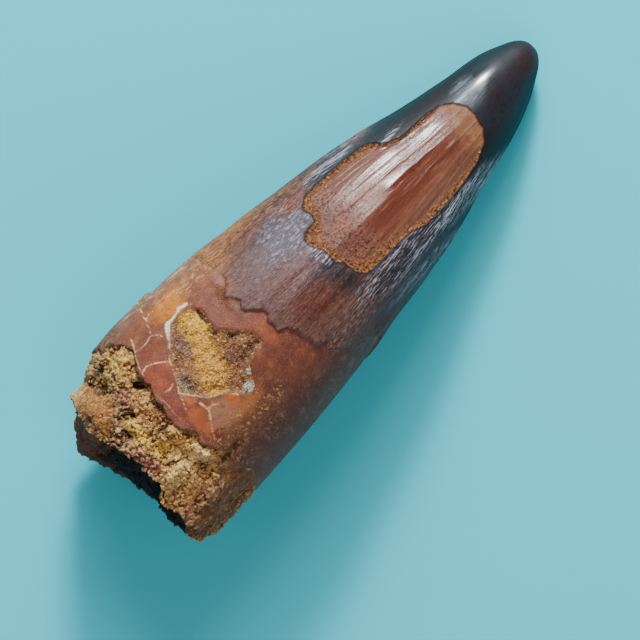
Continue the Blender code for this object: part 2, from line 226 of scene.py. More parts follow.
def noise(points, cell, seed):
    # from -1 to 1: a fixed random number at each corner of a grid of cells, blended between them
    scaled = points / cell
    corner = np.floor(scaled).astype(np.int64)
    part = scaled - corner
    part = part**3 * (part * (part * 6 - 15) + 10)
    total = np.zeros(points.shape[:-1])
    for shift in np.ndindex(2, 2, 2):
        mixed = scrambled(corner + shift, seed)
        mixed = ((mixed ^ (mixed >> 13)) * 1274126177) & 0xFFFFFFFF
        mixed = ((mixed ^ (mixed >> 15)) * 2246822519) & 0xFFFFFFFF
        weight = np.prod(np.where(shift, part, 1 - part), axis=-1)
        total += weight * ((mixed >> 8) & 0xFFFF) / 0x7FFF
    return total - 1


def drift(points, cell, seed):
    # a noise of its own for each of the three directions
    return np.stack([noise(points, cell, seed + axis) for axis in range(3)], axis=-1)


def halfWidthAt(station):
    # the square of the half width follows a smooth curve, so the tip is round
    squares = [(gap, width**2) for gap, width in toothForm["halfWidths"]]
    return np.sqrt(np.maximum(curveThrough(squares, toothForm["tip"] - station), 0))


def unrolled(station, angle):
    # distance round the surface from the top line
    return np.radians(angle) * halfWidthAt(station) * (1 + toothForm["flatness"]) / 2


def unrolledFromAbove(places):
    # places seen from above, laid out as (station, distance round from the top line)
    station, side = np.array(places, float).T
    share = (side - curveThrough(toothForm["middleSides"], station)) / halfWidthAt(station)
    return np.stack([station, unrolled(station, np.degrees(np.arcsin(np.clip(share, -1, 1))))], axis=1)


def distanceTo(path, station, around, widths=None):
    # shortest distance from each point to a path of straight pieces, or to its edge where it has
    # a width at each corner
    nearest = np.full(station.shape, 99.0)
    halves = np.zeros(len(path)) if widths is None else np.array(widths) / 2
    for (x0, v0), (x1, v1), start, end in zip(path[:-1], path[1:], halves[:-1], halves[1:]):
        dx, dv = x1 - x0, v1 - v0
        share = np.clip(((station - x0) * dx + (around - v0) * dv) / (dx * dx + dv * dv), 0, 1)
        away = np.hypot(station - x0 - share * dx, around - v0 - share * dv)
        nearest = np.minimum(nearest, away - start - share * (end - start))
    return nearest


def depthInside(outline, station, around):
    # distance in from a closed outline's edge, negative outside it
    path = unrolledFromAbove(outline + outline[:1])
    inside = np.zeros(station.shape, bool)
    for (x0, v0), (x1, v1) in zip(path[:-1], path[1:]):
        if v0 != v1:
            crosses = (v0 > around) != (v1 > around)
            inside ^= crosses & (station < x0 + (around - v0) * (x1 - x0) / (v1 - v0))
    return np.where(inside, 1, -1) * distanceTo(path, station, around)


def depthBeyond(edge, station, angle, around):
    # distance past an edge that runs round the tooth, towards the tip, negative on the root's side
    angles, stations = np.array(edge, float).T
    path = np.stack([stations, unrolled(stations, angles)], axis=1)
    return np.sign(station - np.interp(angle, angles, stations)) * distanceTo(path, station, around)


def onOval(station, angle, proud):
    # places on the oval cross-section, moved straight out from it by the height given
    halfWidth, flatness = halfWidthAt(station), toothForm["flatness"]
    across, up = np.sin(np.radians(angle)), np.cos(np.radians(angle))
    length = np.hypot(across * flatness, up)
    side = curveThrough(toothForm["middleSides"], station) + across * (halfWidth + proud * flatness / length)
    height = curveThrough(toothForm["middleHeights"], station) + up * (halfWidth * flatness + proud / length)
    return np.stack([station, side, height], axis=-1)


class Marks:
    # how far each place on the smooth wall is inside each mark on the tooth

    def __init__(self, station, angle):
        self.station, self.angle = station, angle
        self.around = unrolled(station, angle)
        self.places = onOval(station, angle, 0)
        self.onTop = np.abs(angle) < 88
        wobble = 0.35 * noise(self.places, 1.6, 3) + 0.25 * noise(self.places, 0.8, 4)
        self.pastBreak = depthBeyond(toothForm["skinEdge"], station, angle, self.around) + wobble
        self.pastEnamel = depthBeyond(toothForm["enamelEdge"], station, angle, self.around)
        self.pastEnamel = self.pastEnamel + 0.12 * noise(self.places, 0.7, 5)
        self.inWindow = self.inside(windowForm["outline"]) + 0.1 * noise(self.places, 0.8, 6)
        self.inCrust = self.inside(crustForm["outline"]) + wobble / 2
        self.rough = ramp(-self.pastBreak, 0, 0.5)
        radians = np.radians(angle)
        round11 = 11 * np.stack([np.cos(radians), np.sin(radians)], axis=-1)
        self.strands = np.concatenate([round11, 0.05 * station[..., None]], axis=-1)

    def inside(self, outline):
        return np.where(self.onTop, depthInside(outline, self.station, self.around), -9)

    def lineGap(self, lines):
        # distance from the nearest line's edge, negative on a line
        nearest = np.full(self.station.shape, 9.0)
        for line in lines:
            path = unrolledFromAbove([place[:2] for place in line])
            away = distanceTo(path, self.station, self.around, [place[2] for place in line])
            nearest = np.minimum(nearest, away)
        return np.where(self.onTop, nearest, 9)

    def relief(self):
        # height of the finished surface over the smooth wall
        station, angle, places, form = self.station, self.angle, self.places, toothForm
        enamel, window = ramp(self.pastEnamel, -0.1, 0.2), ramp(self.inWindow, 0, 0.24)
        worn = within(angle, *form["wornStepAngles"]) * (1 - ramp(station, *form["wornStepStations"]))
        height = form["enamelStep"] * enamel * (1 - form["wornStep"] * worn)
        bevel = ramp(station, *windowForm["bevelStations"]) * ramp(-self.inWindow, -2.4, 0)
        height -= windowForm["depth"] * window * (1 - windowForm["bevel"] * bevel)
        height -= crustForm["depth"] * ramp(self.inCrust, -0.1, 0.5)
        lumpy, chippy = crustForm["lumpy"]
        sandy = lumpy * noise(places, 1.3, 11) + chippy * chipped(places, 0.9, 12)[0]
        height += ramp(self.inCrust, 0, 0.6) * sandy
        sides = bump((np.abs(angle) - 90) / 5)
        height += form["carina"] * enamel * sides * within(station, *form["carinaStations"])
        fluted = enamel * (1 - window) * (1 - ramp(station, *form["fluteStations"]))
        flutes = np.stack([station * 0.03, self.around, np.zeros(station.shape)], axis=-1)
        strands = self.strands
        height += (0.08 * noise(flutes, 1.1, 31) + 0.025 * noise(strands * [1, 1, 3], 0.6, 32)) * fluted
        height += (0.05 * noise(strands, 0.7, 33) + 0.015 * noise(strands * [1, 1, 2], 0.5, 34)) * window
        for width, rise, path in windowForm["creases"]:
            away = distanceTo(unrolledFromAbove(path), station, self.around)
            height += rise * np.exp(-away / width) * window

        middle, reach, whole = form["wholeSide"]
        lost = form["breakDepth"] * (1 - whole * bump((angle - middle) / reach))
        lost += form["wornDepth"] * within(angle, *form["wornAngles"]) * ramp(-station, -11, -7)
        atEdge, more, middle, reach = form["lostAtEdge"]
        step = atEdge + more * bump((angle - middle) / reach)
        height -= lost * self.rough * (step + (1 - step) * ramp(-self.pastBreak, 0, 4))
        flaked = within(angle, *form["flakeAngles"]) * within(station, *form["flakeStations"])
        height += form["flakeRise"] * flaked * (1 - self.rough)
        side = places[..., 1]
        shaped = hills(form["swellings"] + lumps, station, side) - hills(pits, station, side)
        return height + shaped * self.onTop


def crumbled(grid, rough):
    # broken places are moved about in all directions, by a coarse noise and finer ones on top
    return grid + rough * sum(size * drift(grid, cell, seed) for size, cell, seed in meshForm["crumbs"])


def chipped(points, cell, seed):
    # broken chunks: every cell round a scattered point is a small tilted plane. Gives its height,
    # about -1 to 1, a number from 0 to 1 that is the chunk's own, and the gap to the next chunk
    corner = np.floor(points / cell).astype(np.int64)
    nearest, second = np.full(points.shape[:-1], 99.0), np.full(points.shape[:-1], 99.0)
    height, own = np.zeros(points.shape[:-1]), np.zeros(points.shape[:-1])
    for shift in np.ndindex(3, 3, 3):
        cellCorner = corner + shift - 1
        mixed, parts = scrambled(cellCorner, seed), []
        for _ in range(8):
            mixed = ((mixed ^ (mixed >> 13)) * 1274126177 + 12345) & 0xFFFFFFFF
            parts.append(((mixed >> 8) & 0xFFFF) / 0xFFFF)
        away = points / cell - cellCorner - np.stack(parts[:3], axis=-1)
        distance = np.linalg.norm(away, axis=-1)
        tilted = (np.stack(parts[3:6], axis=-1) * 2 - 1) * away
        nearer = distance < nearest
        height = np.where(nearer, parts[6] * 1.2 - 0.6 + 1.3 * tilted.sum(axis=-1), height)
        own = np.where(nearer, parts[7], own)
        second = np.where(nearer, nearest, np.minimum(second, distance))
        nearest = np.minimum(nearest, distance)
    return height, own, (second - nearest) * cell


meshForm = {
    "segments": 450,
    "rings": 192,
    "tipRings": 12,
    "tipLength": 4,
    "skinEnd": 7.5,  # station inside the broken end where the crown and root's skin is closed off
    # station, reach, more rings there
    "fineStations": [(15, 4, 1.1), (24, 6, 0.4), (32, 3, 1.2), (45.5, 3, 1.6), (72.5, 2, 1.6)],
    "tuck": 2.2,  # how deep the skin dives under the broken stone
    "stoneSegments": 540,
    "stoneStart": 18,  # station where the stone starts, under the skin
    "stoneRings": 112,
    "stoneTuck": 1.3,  # how deep the stone lies under the skin
    "stoneReach": 0.7,  # how far it is worn down under the skin's edge
    "endRings": 56,
    "broad": 10,  # steps of smoothing against which hollows are found, on the skin
    "broader": 14,  # and on the stone, for its wide and its narrow ones
    "narrow": 3,
    "crumbs": [(0.55, 3.6, 41), (0.26, 1.7, 51), (0.12, 0.9, 61), (0.05, 0.5, 71)],  # size, cell, seed
    # cell, height, depth of the seams and seed of the chunks, the largest first
    "chips": [(2.3, 0.32, 0.26, 81), (1, 0.22, 0.1, 82), (0.5, 0.1, 0, 83)],
    # where the break is smoother: station, side, reach along, reach across, share of the chips lost
    "calmer": [
        (6.2, 9.4, 3.4, 4.4, 0.75), (9.5, -12.8, 10, 3, 0.85), (15, -9.6, 2.4, 3.4, 0.5),
        (9.6, -5.6, 3.6, 2.4, 0.3),
    ],
}


def spreadRings(start, end, count, spots):
    # ring stations from start down to end, closer together at the spots
    places = np.linspace(end, start, 2000)
    wanted = 1 + sum(more * bump((places - at) / reach) for at, reach, more in spots)
    passed = np.concatenate([[0], np.cumsum((wanted[1:] + wanted[:-1]) / 2)])
    return np.interp(np.linspace(passed[-1], 0, count), passed, places)


def spreadAngles(count):
    # angles all round, closer together on the top
    share = np.arange(count) / count - 0.5
    return 360 * share - 20 * np.sin(2 * np.pi * share)


def bandFaces(rings, segments):
    # squares between each ring and the next
    ring, segment = np.meshgrid(np.arange(rings - 1), np.arange(segments), indexing="ij")
    here, onward = ring * segments, (segment + 1) % segments
    squares = [here + segment, here + onward, here + segments + onward, here + segments + segment]
    return np.stack(squares, axis=2).reshape(-1, 4)


def normalsOf(grid):
    # outward directions of a grid of rings
    along = np.gradient(grid, axis=0)
    roundIt = np.roll(grid, -1, axis=1) - np.roll(grid, 1, axis=1)
    normals = np.cross(roundIt, along)
    return normals / np.maximum(np.linalg.norm(normals, axis=2, keepdims=True), 1e-9)


def hollowness(grid, steps):
    # how far each place lies below the mean of the places round it
    smooth = grid.copy()
    for _ in range(steps):
        smooth = (np.roll(smooth, 1, axis=1) + np.roll(smooth, -1, axis=1) + 2 * smooth) / 4
        smooth[1:-1] = (smooth[:-2] + smooth[2:] + 2 * smooth[1:-1]) / 4
    return ((smooth - grid) * normalsOf(grid)).sum(axis=2)


def closedPiece(name, grid, first, last, fields):
    # rings of places with a fan of triangles over each end, as a smooth piece that rides on the
    # root, and a field of values for each attribute
    rings, segments = grid.shape[:2]
    total, ring = rings * segments, np.arange(segments)
    onward, lastRing = (ring + 1) % segments, total - segments
    places = np.concatenate([grid.reshape(-1, 3), [first, last]])
    places[:, 2] = np.maximum(places[:, 2], 0)
    firstFan = np.stack([np.full(segments, total), onward, ring], axis=1)
    lastFan = np.stack([np.full(segments, total + 1), lastRing + ring, lastRing + onward], axis=1)
    squares = bandFaces(rings, segments)
    piece = meshFrom(name, places, squares.tolist() + firstFan.tolist() + lastFan.tolist())
    for key, values in fields.items():
        values = values.reshape(total, -1)
        values = np.concatenate([values, values[:1], values[-1:]])
        setAttribute(piece.data, key, values[:, 0] if values.shape[1] == 1 else values)
    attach(piece, "root")
    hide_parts("tooth")
    print(name + ":", len(places), "places,", len(squares) * 2 + 2 * segments, "triangles")
    return piece, places, squares


def setAttribute(mesh, name, values):
    # one number, or three, for each vertex
    kind, key = ("FLOAT", "value") if values.ndim == 1 else ("FLOAT_VECTOR", "vector")
    mesh.attributes.new(name, kind, "POINT").data.foreach_set(key, values.astype(np.float32).ravel())


def meshFrom(name, places, faces):
    # a smooth-shaded mesh object from places in millimetres of station, side and height
    mesh = bpy.data.meshes.new(name)
    mesh.from_pydata(((places - [toothForm["origin"], 0, 0]) * mm).tolist(), [], faces)
    mesh.shade_smooth()
    piece = bpy.data.objects.new(name, mesh)
    bpy.context.scene.collection.objects.link(piece)
    return piece


def makeSkin():
    # the crown and the root's skin: rings from the tip to the skin's broken edge, where they dive
    # under the stone and close inside it
    form, tip = meshForm, toothForm["tip"]
    shares = np.arange(1, form["tipRings"] + 1) / form["tipRings"]
    tipRings = tip - form["tipLength"] * shares**2
    body = spreadRings(tip - form["tipLength"], form["skinEnd"], form["rings"], form["fineStations"])
    stations = np.concatenate([tipRings, body[1:]])
    marks = Marks(*np.meshgrid(stations, spreadAngles(form["segments"]), indexing="ij"))
    height = marks.relief() - form["tuck"] * ramp(-marks.pastBreak, 0.05, 0.8)
    grid = onOval(marks.station, marks.angle, height)
    names = ("pastEnamel", "pastBreak", "inWindow", "inCrust", "strands")
    fields = {name: getattr(marks, name) for name in names}
    fields["veinGap"], fields["crackGap"] = (marks.lineGap(veinForm[key]) for key in ("veins", "cracks"))
    fields["hollow"] = hollowness(grid, form["broad"])
    first = [tip, grid[0, :, 1].mean(), grid[0, :, 2].mean()]
    piece, places, squares = closedPiece("toothSkin", grid, first, grid[-1].mean(axis=0), fields)
    inCrust = marks.inCrust.reshape(-1)[squares].mean(axis=1)
    return piece, (places, squares, ramp(inCrust, 0, 0.5))


def makeStone():
    # the broken stone: rings from under the skin to the jagged rim, then over the sunk filling
    form = meshForm
    angles = spreadAngles(form["stoneSegments"])
    rows = np.linspace(form["stoneStart"], 0, form["stoneRings"])
    rim = curveThrough(toothForm["brokenRim"], angles)
    stations = rows[:, None] + rim * ramp(-rows, -16, 0)[:, None]
    marks = Marks(stations, np.broadcast_to(angles, stations.shape))
    marks.rough = ramp(form["stoneReach"] - marks.pastBreak, 0, 0.5)
    wall = onOval(stations, marks.angle, marks.relief() - form["stoneTuck"] * ramp(marks.pastBreak, 0, 1.2))

    # the end: from the rim inwards to the core, each place a station over side and height
    share = np.linspace(1, 0, form["endRings"] + 2)[1:-1, None]
    middle = wall[-1].mean(axis=0)
    side, height = (middle[axis] + share * (wall[-1, :, axis] - middle[axis]) for axis in (1, 2))
    core = 2.6 - 1.4 * bump((side - 6) / 4, (height - 6) / 9) + 1.6 * bump((side + 2) / 6, (height - 18) / 5)
    core += toothForm["fillDepth"] * ramp(0.58 + 0.06 * noise(wall[-1] / 4, 1, 71) - share, 0, 0.08)
    inward = ramp(1 - share, 0, 0.45)
    end = np.stack([rim * (1 - inward) + core * inward, side, height], axis=-1)

    # broken: moved about, then chipped outwards and inwards
    grid = np.concatenate([wall, end])
    none, whole = np.zeros(end.shape[:2]), np.ones(end.shape[:2])
    rough, onEnd = np.concatenate([marks.rough, whole]), np.concatenate([0 * marks.rough, whole])
    nearEdge = np.concatenate([ramp(marks.pastBreak, -2.4, -0.4), none])
    calm = hills(form["calmer"], grid[..., 0], grid[..., 1])
    steady = np.minimum(calm, 1)
    grid = crumbled(grid, (rough * (1 - 0.6 * steady - 0.35 * nearEdge))[..., None])
    chips, owns, gaps = 0, [], []
    for cell, size, seam, seed in form["chips"]:
        high, own, gap = chipped(grid + 0.3 * cell * drift(grid, cell / 3, seed + 10), cell, seed)
        chips = chips + size * high - seam * np.exp(-gap / (0.08 * cell))
        owns.append(own)
        gaps.append(gap)
    striated = 0.22 * noise(grid / [6, 1, 1], 0.6, 91)
    chips = chips * (1 - calm) + striated * ramp(-grid[..., 1], 8, 11)
    grid = grid + normalsOf(grid) * (chips * rough)[..., None]
    fields = {
        "chunk": owns[0], "lump": owns[1], "seam": np.exp(-gaps[0] / 0.22), "onEnd": onEnd, "calm": steady,
        "hollow": hollowness(grid, form["broader"]) * (1 - onEnd) * (1 - 0.7 * nearEdge),
        "fineHollow": hollowness(grid, form["narrow"]),
    }
    first, last = wall[0].mean(axis=0), grid[-1].mean(axis=0)
    piece, places, squares = closedPiece("brokenStone", grid, first, last, fields)
    crumbly = rough**2 * (1 - onEnd) * (1 - np.minimum(1.2 * calm, 1))
    return piece, (places, squares, crumbly.reshape(-1)[squares].min(axis=1))


def operator(operation, swapped=False):
    return lambda self, other: self.maths(operation, *((other, self) if swapped else (self, other)))


class Wire:
    # a node's output, with the operators that shader maths needs

    def __init__(self, tree, socket):
        self.tree, self.socket = tree, socket

    def maths(self, operation, first, second):
        node = self.tree.nodes.new("ShaderNodeMath")
        node.operation = operation
        for slot, value in zip(node.inputs, (first, second)):
            if isinstance(value, Wire):
                self.tree.links.new(value.socket, slot)
            else:
                slot.default_value = value
        return Wire(self.tree, node.outputs[0])

    __add__, __radd__ = operator("ADD"), operator("ADD", True)
    __sub__, __rsub__ = operator("SUBTRACT"), operator("SUBTRACT", True)
    __mul__, __rmul__ = operator("MULTIPLY"), operator("MULTIPLY", True)


def shade(red, green, blue):
    # a colour on the screen, 0 to 255, as the linear colour that shaders take
    linear = [((c / 255 + 0.055) / 1.055) ** 2.4 if c > 10 else c / 255 / 12.92 for c in (red, green, blue)]
    return (*linear, 1)


spotForm = {
    "waver": 0.9,  # one over the millimetres from one shift of a spot's outline to the next
    "shift": 1.1,  # how far it is shifted
    "away": 3,  # the height that puts the underside out of every spot's reach
    "underHeights": (13, 8),  # heights between which the root's underside begins
}


class Finish:
    # a material under construction

    def __init__(self, name):
        self.material = bpy.data.materials.new(name)
        self.material.use_nodes = True
        self.tree = self.material.node_tree
        self.shader = self.tree.nodes["Principled BSDF"]
        own = self.node("ShaderNodeTexCoord", output="Object")
        self.place = self.vector("MULTIPLY_ADD", own, (1 / mm,) * 3, (toothForm["origin"], 0, 0))

    def node(self, kind, settings=None, sockets=None, output=0):
        # a node of that type: its settings first, then the values and links of its sockets
        made = self.tree.nodes.new(kind)
        for key, value in (settings or {}).items():
            setattr(made, key, value)
        for key, value in (sockets or {}).items():
            if isinstance(value, Wire):
                self.tree.links.new(value.socket, made.inputs[key])
            else:
                made.inputs[key].default_value = value
        return Wire(self.tree, made.outputs[output])

    def vector(self, operation, *values, output=0):
        return self.node("ShaderNodeVectorMath", {"operation": operation}, dict(enumerate(values)), output)

    def part(self, vector, axis):
        return self.node("ShaderNodeSeparateXYZ", None, {0: vector}, axis)

    def attribute(self, name, output="Fac"):
        return self.node("ShaderNodeAttribute", {"attribute_name": name}, output=output)

    def noise(self, scale, detail, at=None, output="Fac", **sockets):
        # features are about one over scale millimetres across
        values = {"Vector": at or self.place, "Scale": scale, "Detail": detail}
        values.update({key.capitalize(): value for key, value in sockets.items()})
        return self.node("ShaderNodeTexNoise", None, values, output)

    def between(self, value, start, end, low=0, high=1):
        # an eased rise from low at start to high at end
        values = {"Value": value, "From Min": start, "From Max": end, "To Min": low, "To Max": high}
        return self.node("ShaderNodeMapRange", {"interpolation_type": "SMOOTHSTEP"}, values)

    def mix(self, mask, under, over, blend="MIX"):
        settings = {"data_type": "RGBA", "blend_type": blend, "clamp_factor": True}
        return self.node("ShaderNodeMix", settings, {0: mask, 6: under, 7: over}, 2)

    def either(self, mask, under, over):
        # two numbers mixed by a mask
        settings = {"data_type": "FLOAT", "clamp_factor": True}
        return self.node("ShaderNodeMix", settings, {0: mask, 2: under, 3: over})

    def spot(self, at, x, y, along, across, edge):
        # an oval mask seen from above, 1 in its middle; a smaller edge makes it crisper
        away = self.vector("SUBTRACT", at, (x, y, 0))
        scaled = self.vector("MULTIPLY", away, (1 / along, 1 / across, 1))
        return self.between(self.vector("LENGTH", scaled, output="Value"), 1 + edge, 1 - edge)

    def inSpots(self, at, spots):
        # how far places are in any of the spots, each with a strength at its end
        return sum(self.spot(at, *spot) * amount for *spot, amount in spots)

    def fromAbove(self, under):
        # the place seen from above, shifted a little to and fro for ragged edges. Its height is 0,
        # and on the underside it is too great for any spot to reach
        form = spotForm
        push = self.vector("SUBTRACT", self.noise(form["waver"], 3, output="Color"), (0.5, 0.5, 0.5))
        moved = self.vector("MULTIPLY_ADD", push, (form["shift"],) * 3, self.place)
        sockets = {0: self.part(moved, 0), 1: self.part(moved, 1), 2: under * form["away"]}
        return self.node("ShaderNodeCombineXYZ", None, sockets)

    def underside(self):
        # 0 on the upper half of the root and 1 under it
        return self.between(self.part(self.place, 2), *spotForm["underHeights"])

    def painted(self, at, colour, spots):
        # spots of colour one over another, each (x, y, along, across, edge, colour, amount)
        for *spot, over, amount in spots:
            colour = self.mix(self.spot(at, *spot) * amount, colour, shade(*over))
        return colour

    def layered(self, colour, form, *layers):
        # colours one over another, each through its mask: one of the form's by name, or a wire
        for mask, over in layers:
            colour = self.mix(mask, colour, over if isinstance(over, Wire) else shade(*form[over]))
        return colour


enamelFinish = {
    "ground": (24, 17, 21),
    "rootward": (84, 52, 44),  # where the enamel is thin beside the root
    "thickening": (31, 56),  # stations between which it gets thicker
    "smoothing": (50, 74),  # stations between which it gets smoother
    "roughness": 0.44,
    "tipRoughness": (0.48, 0.22),  # and where it is polished
    "coat": 0.06,
    "tipCoat": (0.1, 1),
    "stain": (120, 78, 62),
    "crest": (170, 122, 108),
    "spots": [  # station, side, reach along, reach across, softness of the edge, colour, strength
        # the first two are painted: a dim bluish reflection over the tip and a highlight's glow beside it
        (77.5, -1.2, 5.5, 4.4, 0.7, (42, 42, 50), 0.6), (74.8, 2.2, 1.9, 1.9, 0.7, (84, 96, 108), 0.6),
        (76.6, -0.8, 2.2, 1.6, 0.6, (32, 20, 26), 0.6), (82.8, -0.6, 2.6, 1.6, 0.6, (44, 26, 30), 0.6),
        (38, 2.5, 9.5, 10.5, 0.35, (100, 62, 56), 0.95), (51, -9, 10, 4, 0.5, (66, 48, 54), 0.7),
        (36.5, -6, 8.5, 5.5, 0.4, (104, 64, 50), 0.9), (39, -12, 13, 3.2, 0.5, (98, 60, 52), 0.85),
        (62, -8, 8, 1.8, 0.5, (54, 42, 54), 0.7), (52, -11, 8, 1.3, 0.6, (76, 66, 76), 0.7),
        (55, 9.4, 9, 1.5, 0.6, (62, 52, 58), 0.7), (39.4, -2.4, 4.6, 2.2, 0.4, (90, 36, 16), 0.92),
        (43.9, -2.6, 1.7, 3.2, 0.75, (34, 24, 28), 0.9), (42.6, -0.6, 2.4, 1.4, 0.6, (50, 38, 44), 0.6),
        (37, 11.4, 12, 2.2, 0.5, (104, 54, 28), 0.92), (34, 13.4, 13, 1.7, 0.6, (168, 100, 44), 0.9),
        # (43, 6) is a painted lavender sheen
        (49.5, 10.8, 7.5, 1.3, 0.6, (88, 48, 36), 0.85), (43, 6, 5, 4, 0.5, (86, 74, 86), 0.75),
        (85.4, -0.4, 2.6, 2.4, 0.6, (54, 24, 26), 0.7), (59.5, 9.5, 2.6, 0.7, 0.6, (126, 78, 62), 0.7),
        (43, -11.2, 1.2, 0.7, 0.5, (92, 32, 26), 0.8), (31.8, 8.4, 1.8, 2.2, 0.6, (132, 74, 52), 0.8),
        (66, 6, 7, 1.2, 0.5, (30, 12, 12), 0.9), (32.5, 12.4, 3.4, 2.6, 0.6, (160, 94, 46), 0.85),
        (46.2, 9.1, 2.6, 1.1, 0.6, (120, 54, 24), 0.95), (38.5, 2.8, 3.4, 2, 0.7, (108, 54, 36), 0.6),
        (72, 5.2, 6, 1.3, 0.7, (34, 8, 8), 0.8),
    ],
    "streakyWithGlints": [  # where pale streaks show, partly painted glints: station, side, reach along and across, softness, strength
        (51.5, -7.3, 9, 1.8, 0.4, 0.7), (54, 9.6, 6, 0.9, 0.5, 0.65), (45.6, 8.2, 1.6, 0.6, 0.5, 0.5),
        (65, -7.6, 7, 1.3, 0.5, 0.85), (61.8, 6.1, 3, 0.4, 0.5, 0.7), (55, -10.6, 7, 0.8, 0.6, 0.7),
        (44, 1.2, 1, 2.4, 0.5, 0.8), (74.8, 2.6, 1.8, 1.6, 0.7, 0.4),
    ],
    "paintedSheenSpots": [  # where a painted sheen of pale glints lies on the wrinkles' crests
        (43.4, 6.2, 4, 3.4, 0.7, 1), (38, 6, 4, 4, 0.7, 0.2), (41, 0.8, 3.4, 1.2, 0.6, 0.35),
        (39, -8.4, 7, 1.4, 0.6, 0.3), (48, -5.9, 4, 0.7, 0.6, 0.5),
    ],
    "threaded": [  # where it has fine dark and tan lines
        (38, 12.7, 13, 2.1, 0.5, 1), (47, 10.6, 5, 1.2, 0.6, 0.8),
    ],
    "thread": (62, 24, 14),
    "tan": (222, 136, 74),
    "polished": (78.2, 2.2, 1.8, 1.5, 0.7),  # where the tip is polished
    # pale streaks, partly painted glints
    "paleStreakAndGlint": (194, 184, 196),
    # painted sheen on the crests
    "sheenGlint": (176, 170, 184),
    # dark grooves, and the painted shadow line along the window's edge
    "grooveAndShadow": (12, 8, 10),
}

dentineFinish = {
    "ground": (122, 66, 48),
    "spots": [
        (47.5, 0.5, 3.8, 5.5, 0.5, (112, 62, 46), 0.8), (54, 6.6, 9, 1.8, 0.6, (116, 66, 44), 0.8),
        (60, -1.2, 10, 1.5, 0.5, (102, 46, 28), 0.85), (61.5, 0.55, 4.8, 0.42, 0.4, (92, 34, 18), 0.95),
        (57.5, 2.45, 3.6, 0.22, 0.5, (116, 58, 44), 0.85), (62, -4, 9, 1.3, 0.6, (124, 76, 54), 0.75),
        (71.6, -0.2, 1.9, 3.8, 0.6, (140, 92, 60), 0.8), (70.8, -2.8, 1.8, 1.6, 0.6, (146, 92, 58), 0.7),
        (48.8, 2, 1.1, 1.2, 0.6, (148, 72, 38), 0.6), (44.9, 3.4, 1.2, 1.5, 0.6, (162, 88, 44), 0.7),
        (46.4, -3.2, 1.4, 1.8, 0.6, (132, 66, 44), 0.7), (69.9, -2.2, 0.35, 0.8, 0.6, (104, 50, 34), 0.6),
    ],
    "corners": [  # where the granular rim is wider
        (48.6, -4.3, 4.4, 1.2, 0.6, 1), (60, -5.5, 8, 0.8, 0.6, 0.7), (45.4, 2.6, 1.6, 3, 0.6, 0.8),
        (46, -2.6, 1.2, 2.6, 0.6, 0.8), (47.5, 6.6, 1.2, 1.6, 0.6, 0.7), (58.4, 7.3, 3, 1, 0.6, 0.6),
        (52, 8.1, 5, 0.4, 0.6, 0.3),
    ],
    "granular": (46.2, 1, 5, 8, 0.6),
    "roughness": (0.22, 0.75),  # of the dentine and of its rim
    "coat": 0.42,
    "line": (86, 38, 26),
    "fleck": (190, 118, 76),
    "smoothEnd": (72.4, 0.4, 4.2, 5, 0.4),  # here the rim is not granular
    "rim": (162, 100, 62),
    "rimLight": (218, 156, 102),
    # dark grains of the rim, and the painted shadow line just inside the enamel's edge
    "rimDarkAndShadow": (44, 24, 16),
    "pore": (66, 32, 24),
    "pale": (180, 130, 116),
}

rootFinish = {
    "ground": (120, 62, 43),
    "spots": [
        (28.5, -5.5, 7, 3.8, 0.5, (104, 53, 36), 0.8), (30.5, 8, 4, 4.5, 0.5, (124, 64, 42), 0.8),
        (18, 12.6, 3.6, 1.9, 0.25, (116, 58, 40), 0.85), (13.6, 13.9, 4.4, 0.9, 0.5, (110, 64, 44), 0.8),
        (28, 13, 9, 2.4, 0.6, (152, 88, 46), 0.85), (24.3, 11.5, 2.6, 1.6, 0.5, (206, 116, 4), 0.95),
        (16.6, 5.3, 2.3, 2.2, 0.2, (138, 58, 26), 0.9), (15.2, 0.8, 1.2, 2.6, 0.3, (124, 60, 42), 0.8),
        (18, 8.9, 2, 1.3, 0.2, (116, 54, 28), 0.85), (16.2, -2.8, 1.5, 2.2, 0.25, (162, 78, 40), 0.9),
        (17.2, 0.6, 0.8, 1.2, 0.3, (178, 96, 52), 0.85), (19, -4.4, 2.6, 2.2, 0.35, (160, 108, 76), 0.85),
        (21.2, -3.6, 0.9, 1.4, 0.4, (190, 86, 32), 0.85), (22.2, -5.8, 2.4, 1, 0.5, (184, 102, 48), 0.8),
        (31.2, -0.8, 1.1, 2, 0.5, (156, 80, 44), 0.7), (24, -11.8, 13, 3, 0.4, (88, 44, 36), 0.92),
        (40, -11.8, 8, 2.4, 0.5, (84, 50, 44), 0.9), (16.4, -5.7, 1, 0.5, 0.3, (126, 34, 20), 0.9),
        (31, 4.6, 0.8, 1.5, 0.6, (176, 140, 124), 0.8), (31.8, 9, 0.9, 1.2, 0.6, (150, 110, 88), 0.6),
        # a painted shadow in the pit at (16.9, -8.8)
        (16.4, -8.9, 1.2, 0.45, 0.5, (34, 18, 14), 0.8),
    ],
    "cream": [
        (30, 14.2, 6, 0.6, 0.6, 0.9), (20.5, 14.8, 3, 0.5, 0.6, 0.7), (31, 12, 5, 1.8, 0.7, 0.35),
        (24.5, 12.6, 3, 1.5, 0.7, 0.15),
    ],
    "speckled": [
        (20.5, -7, 6, 2, 0.6, 1), (25, -8, 1.8, 1.2, 0.6, 0.9), (22.5, -10.8, 1.8, 1.3, 0.6, 0.8),
        (16, -8.6, 3, 2.6, 0.6, 1),
    ],
    "roughness": 0.5,
    "specks": (208, 150, 92),
    "fleck": (190, 122, 84),
    "ruddy": (180, 104, 66),
    "sand": (176, 118, 74),
    "sandDark": (74, 42, 30),
    "creamColour": (226, 176, 122),
    "dusky": (84, 38, 30),
    "granular": [
        (12, 14.4, 4.4, 1.1, 0.4, 1), (9.4, 14, 2, 1.2, 0.5, 1), (30.6, 6, 1.6, 4, 0.6, 0.5),
    ],
}

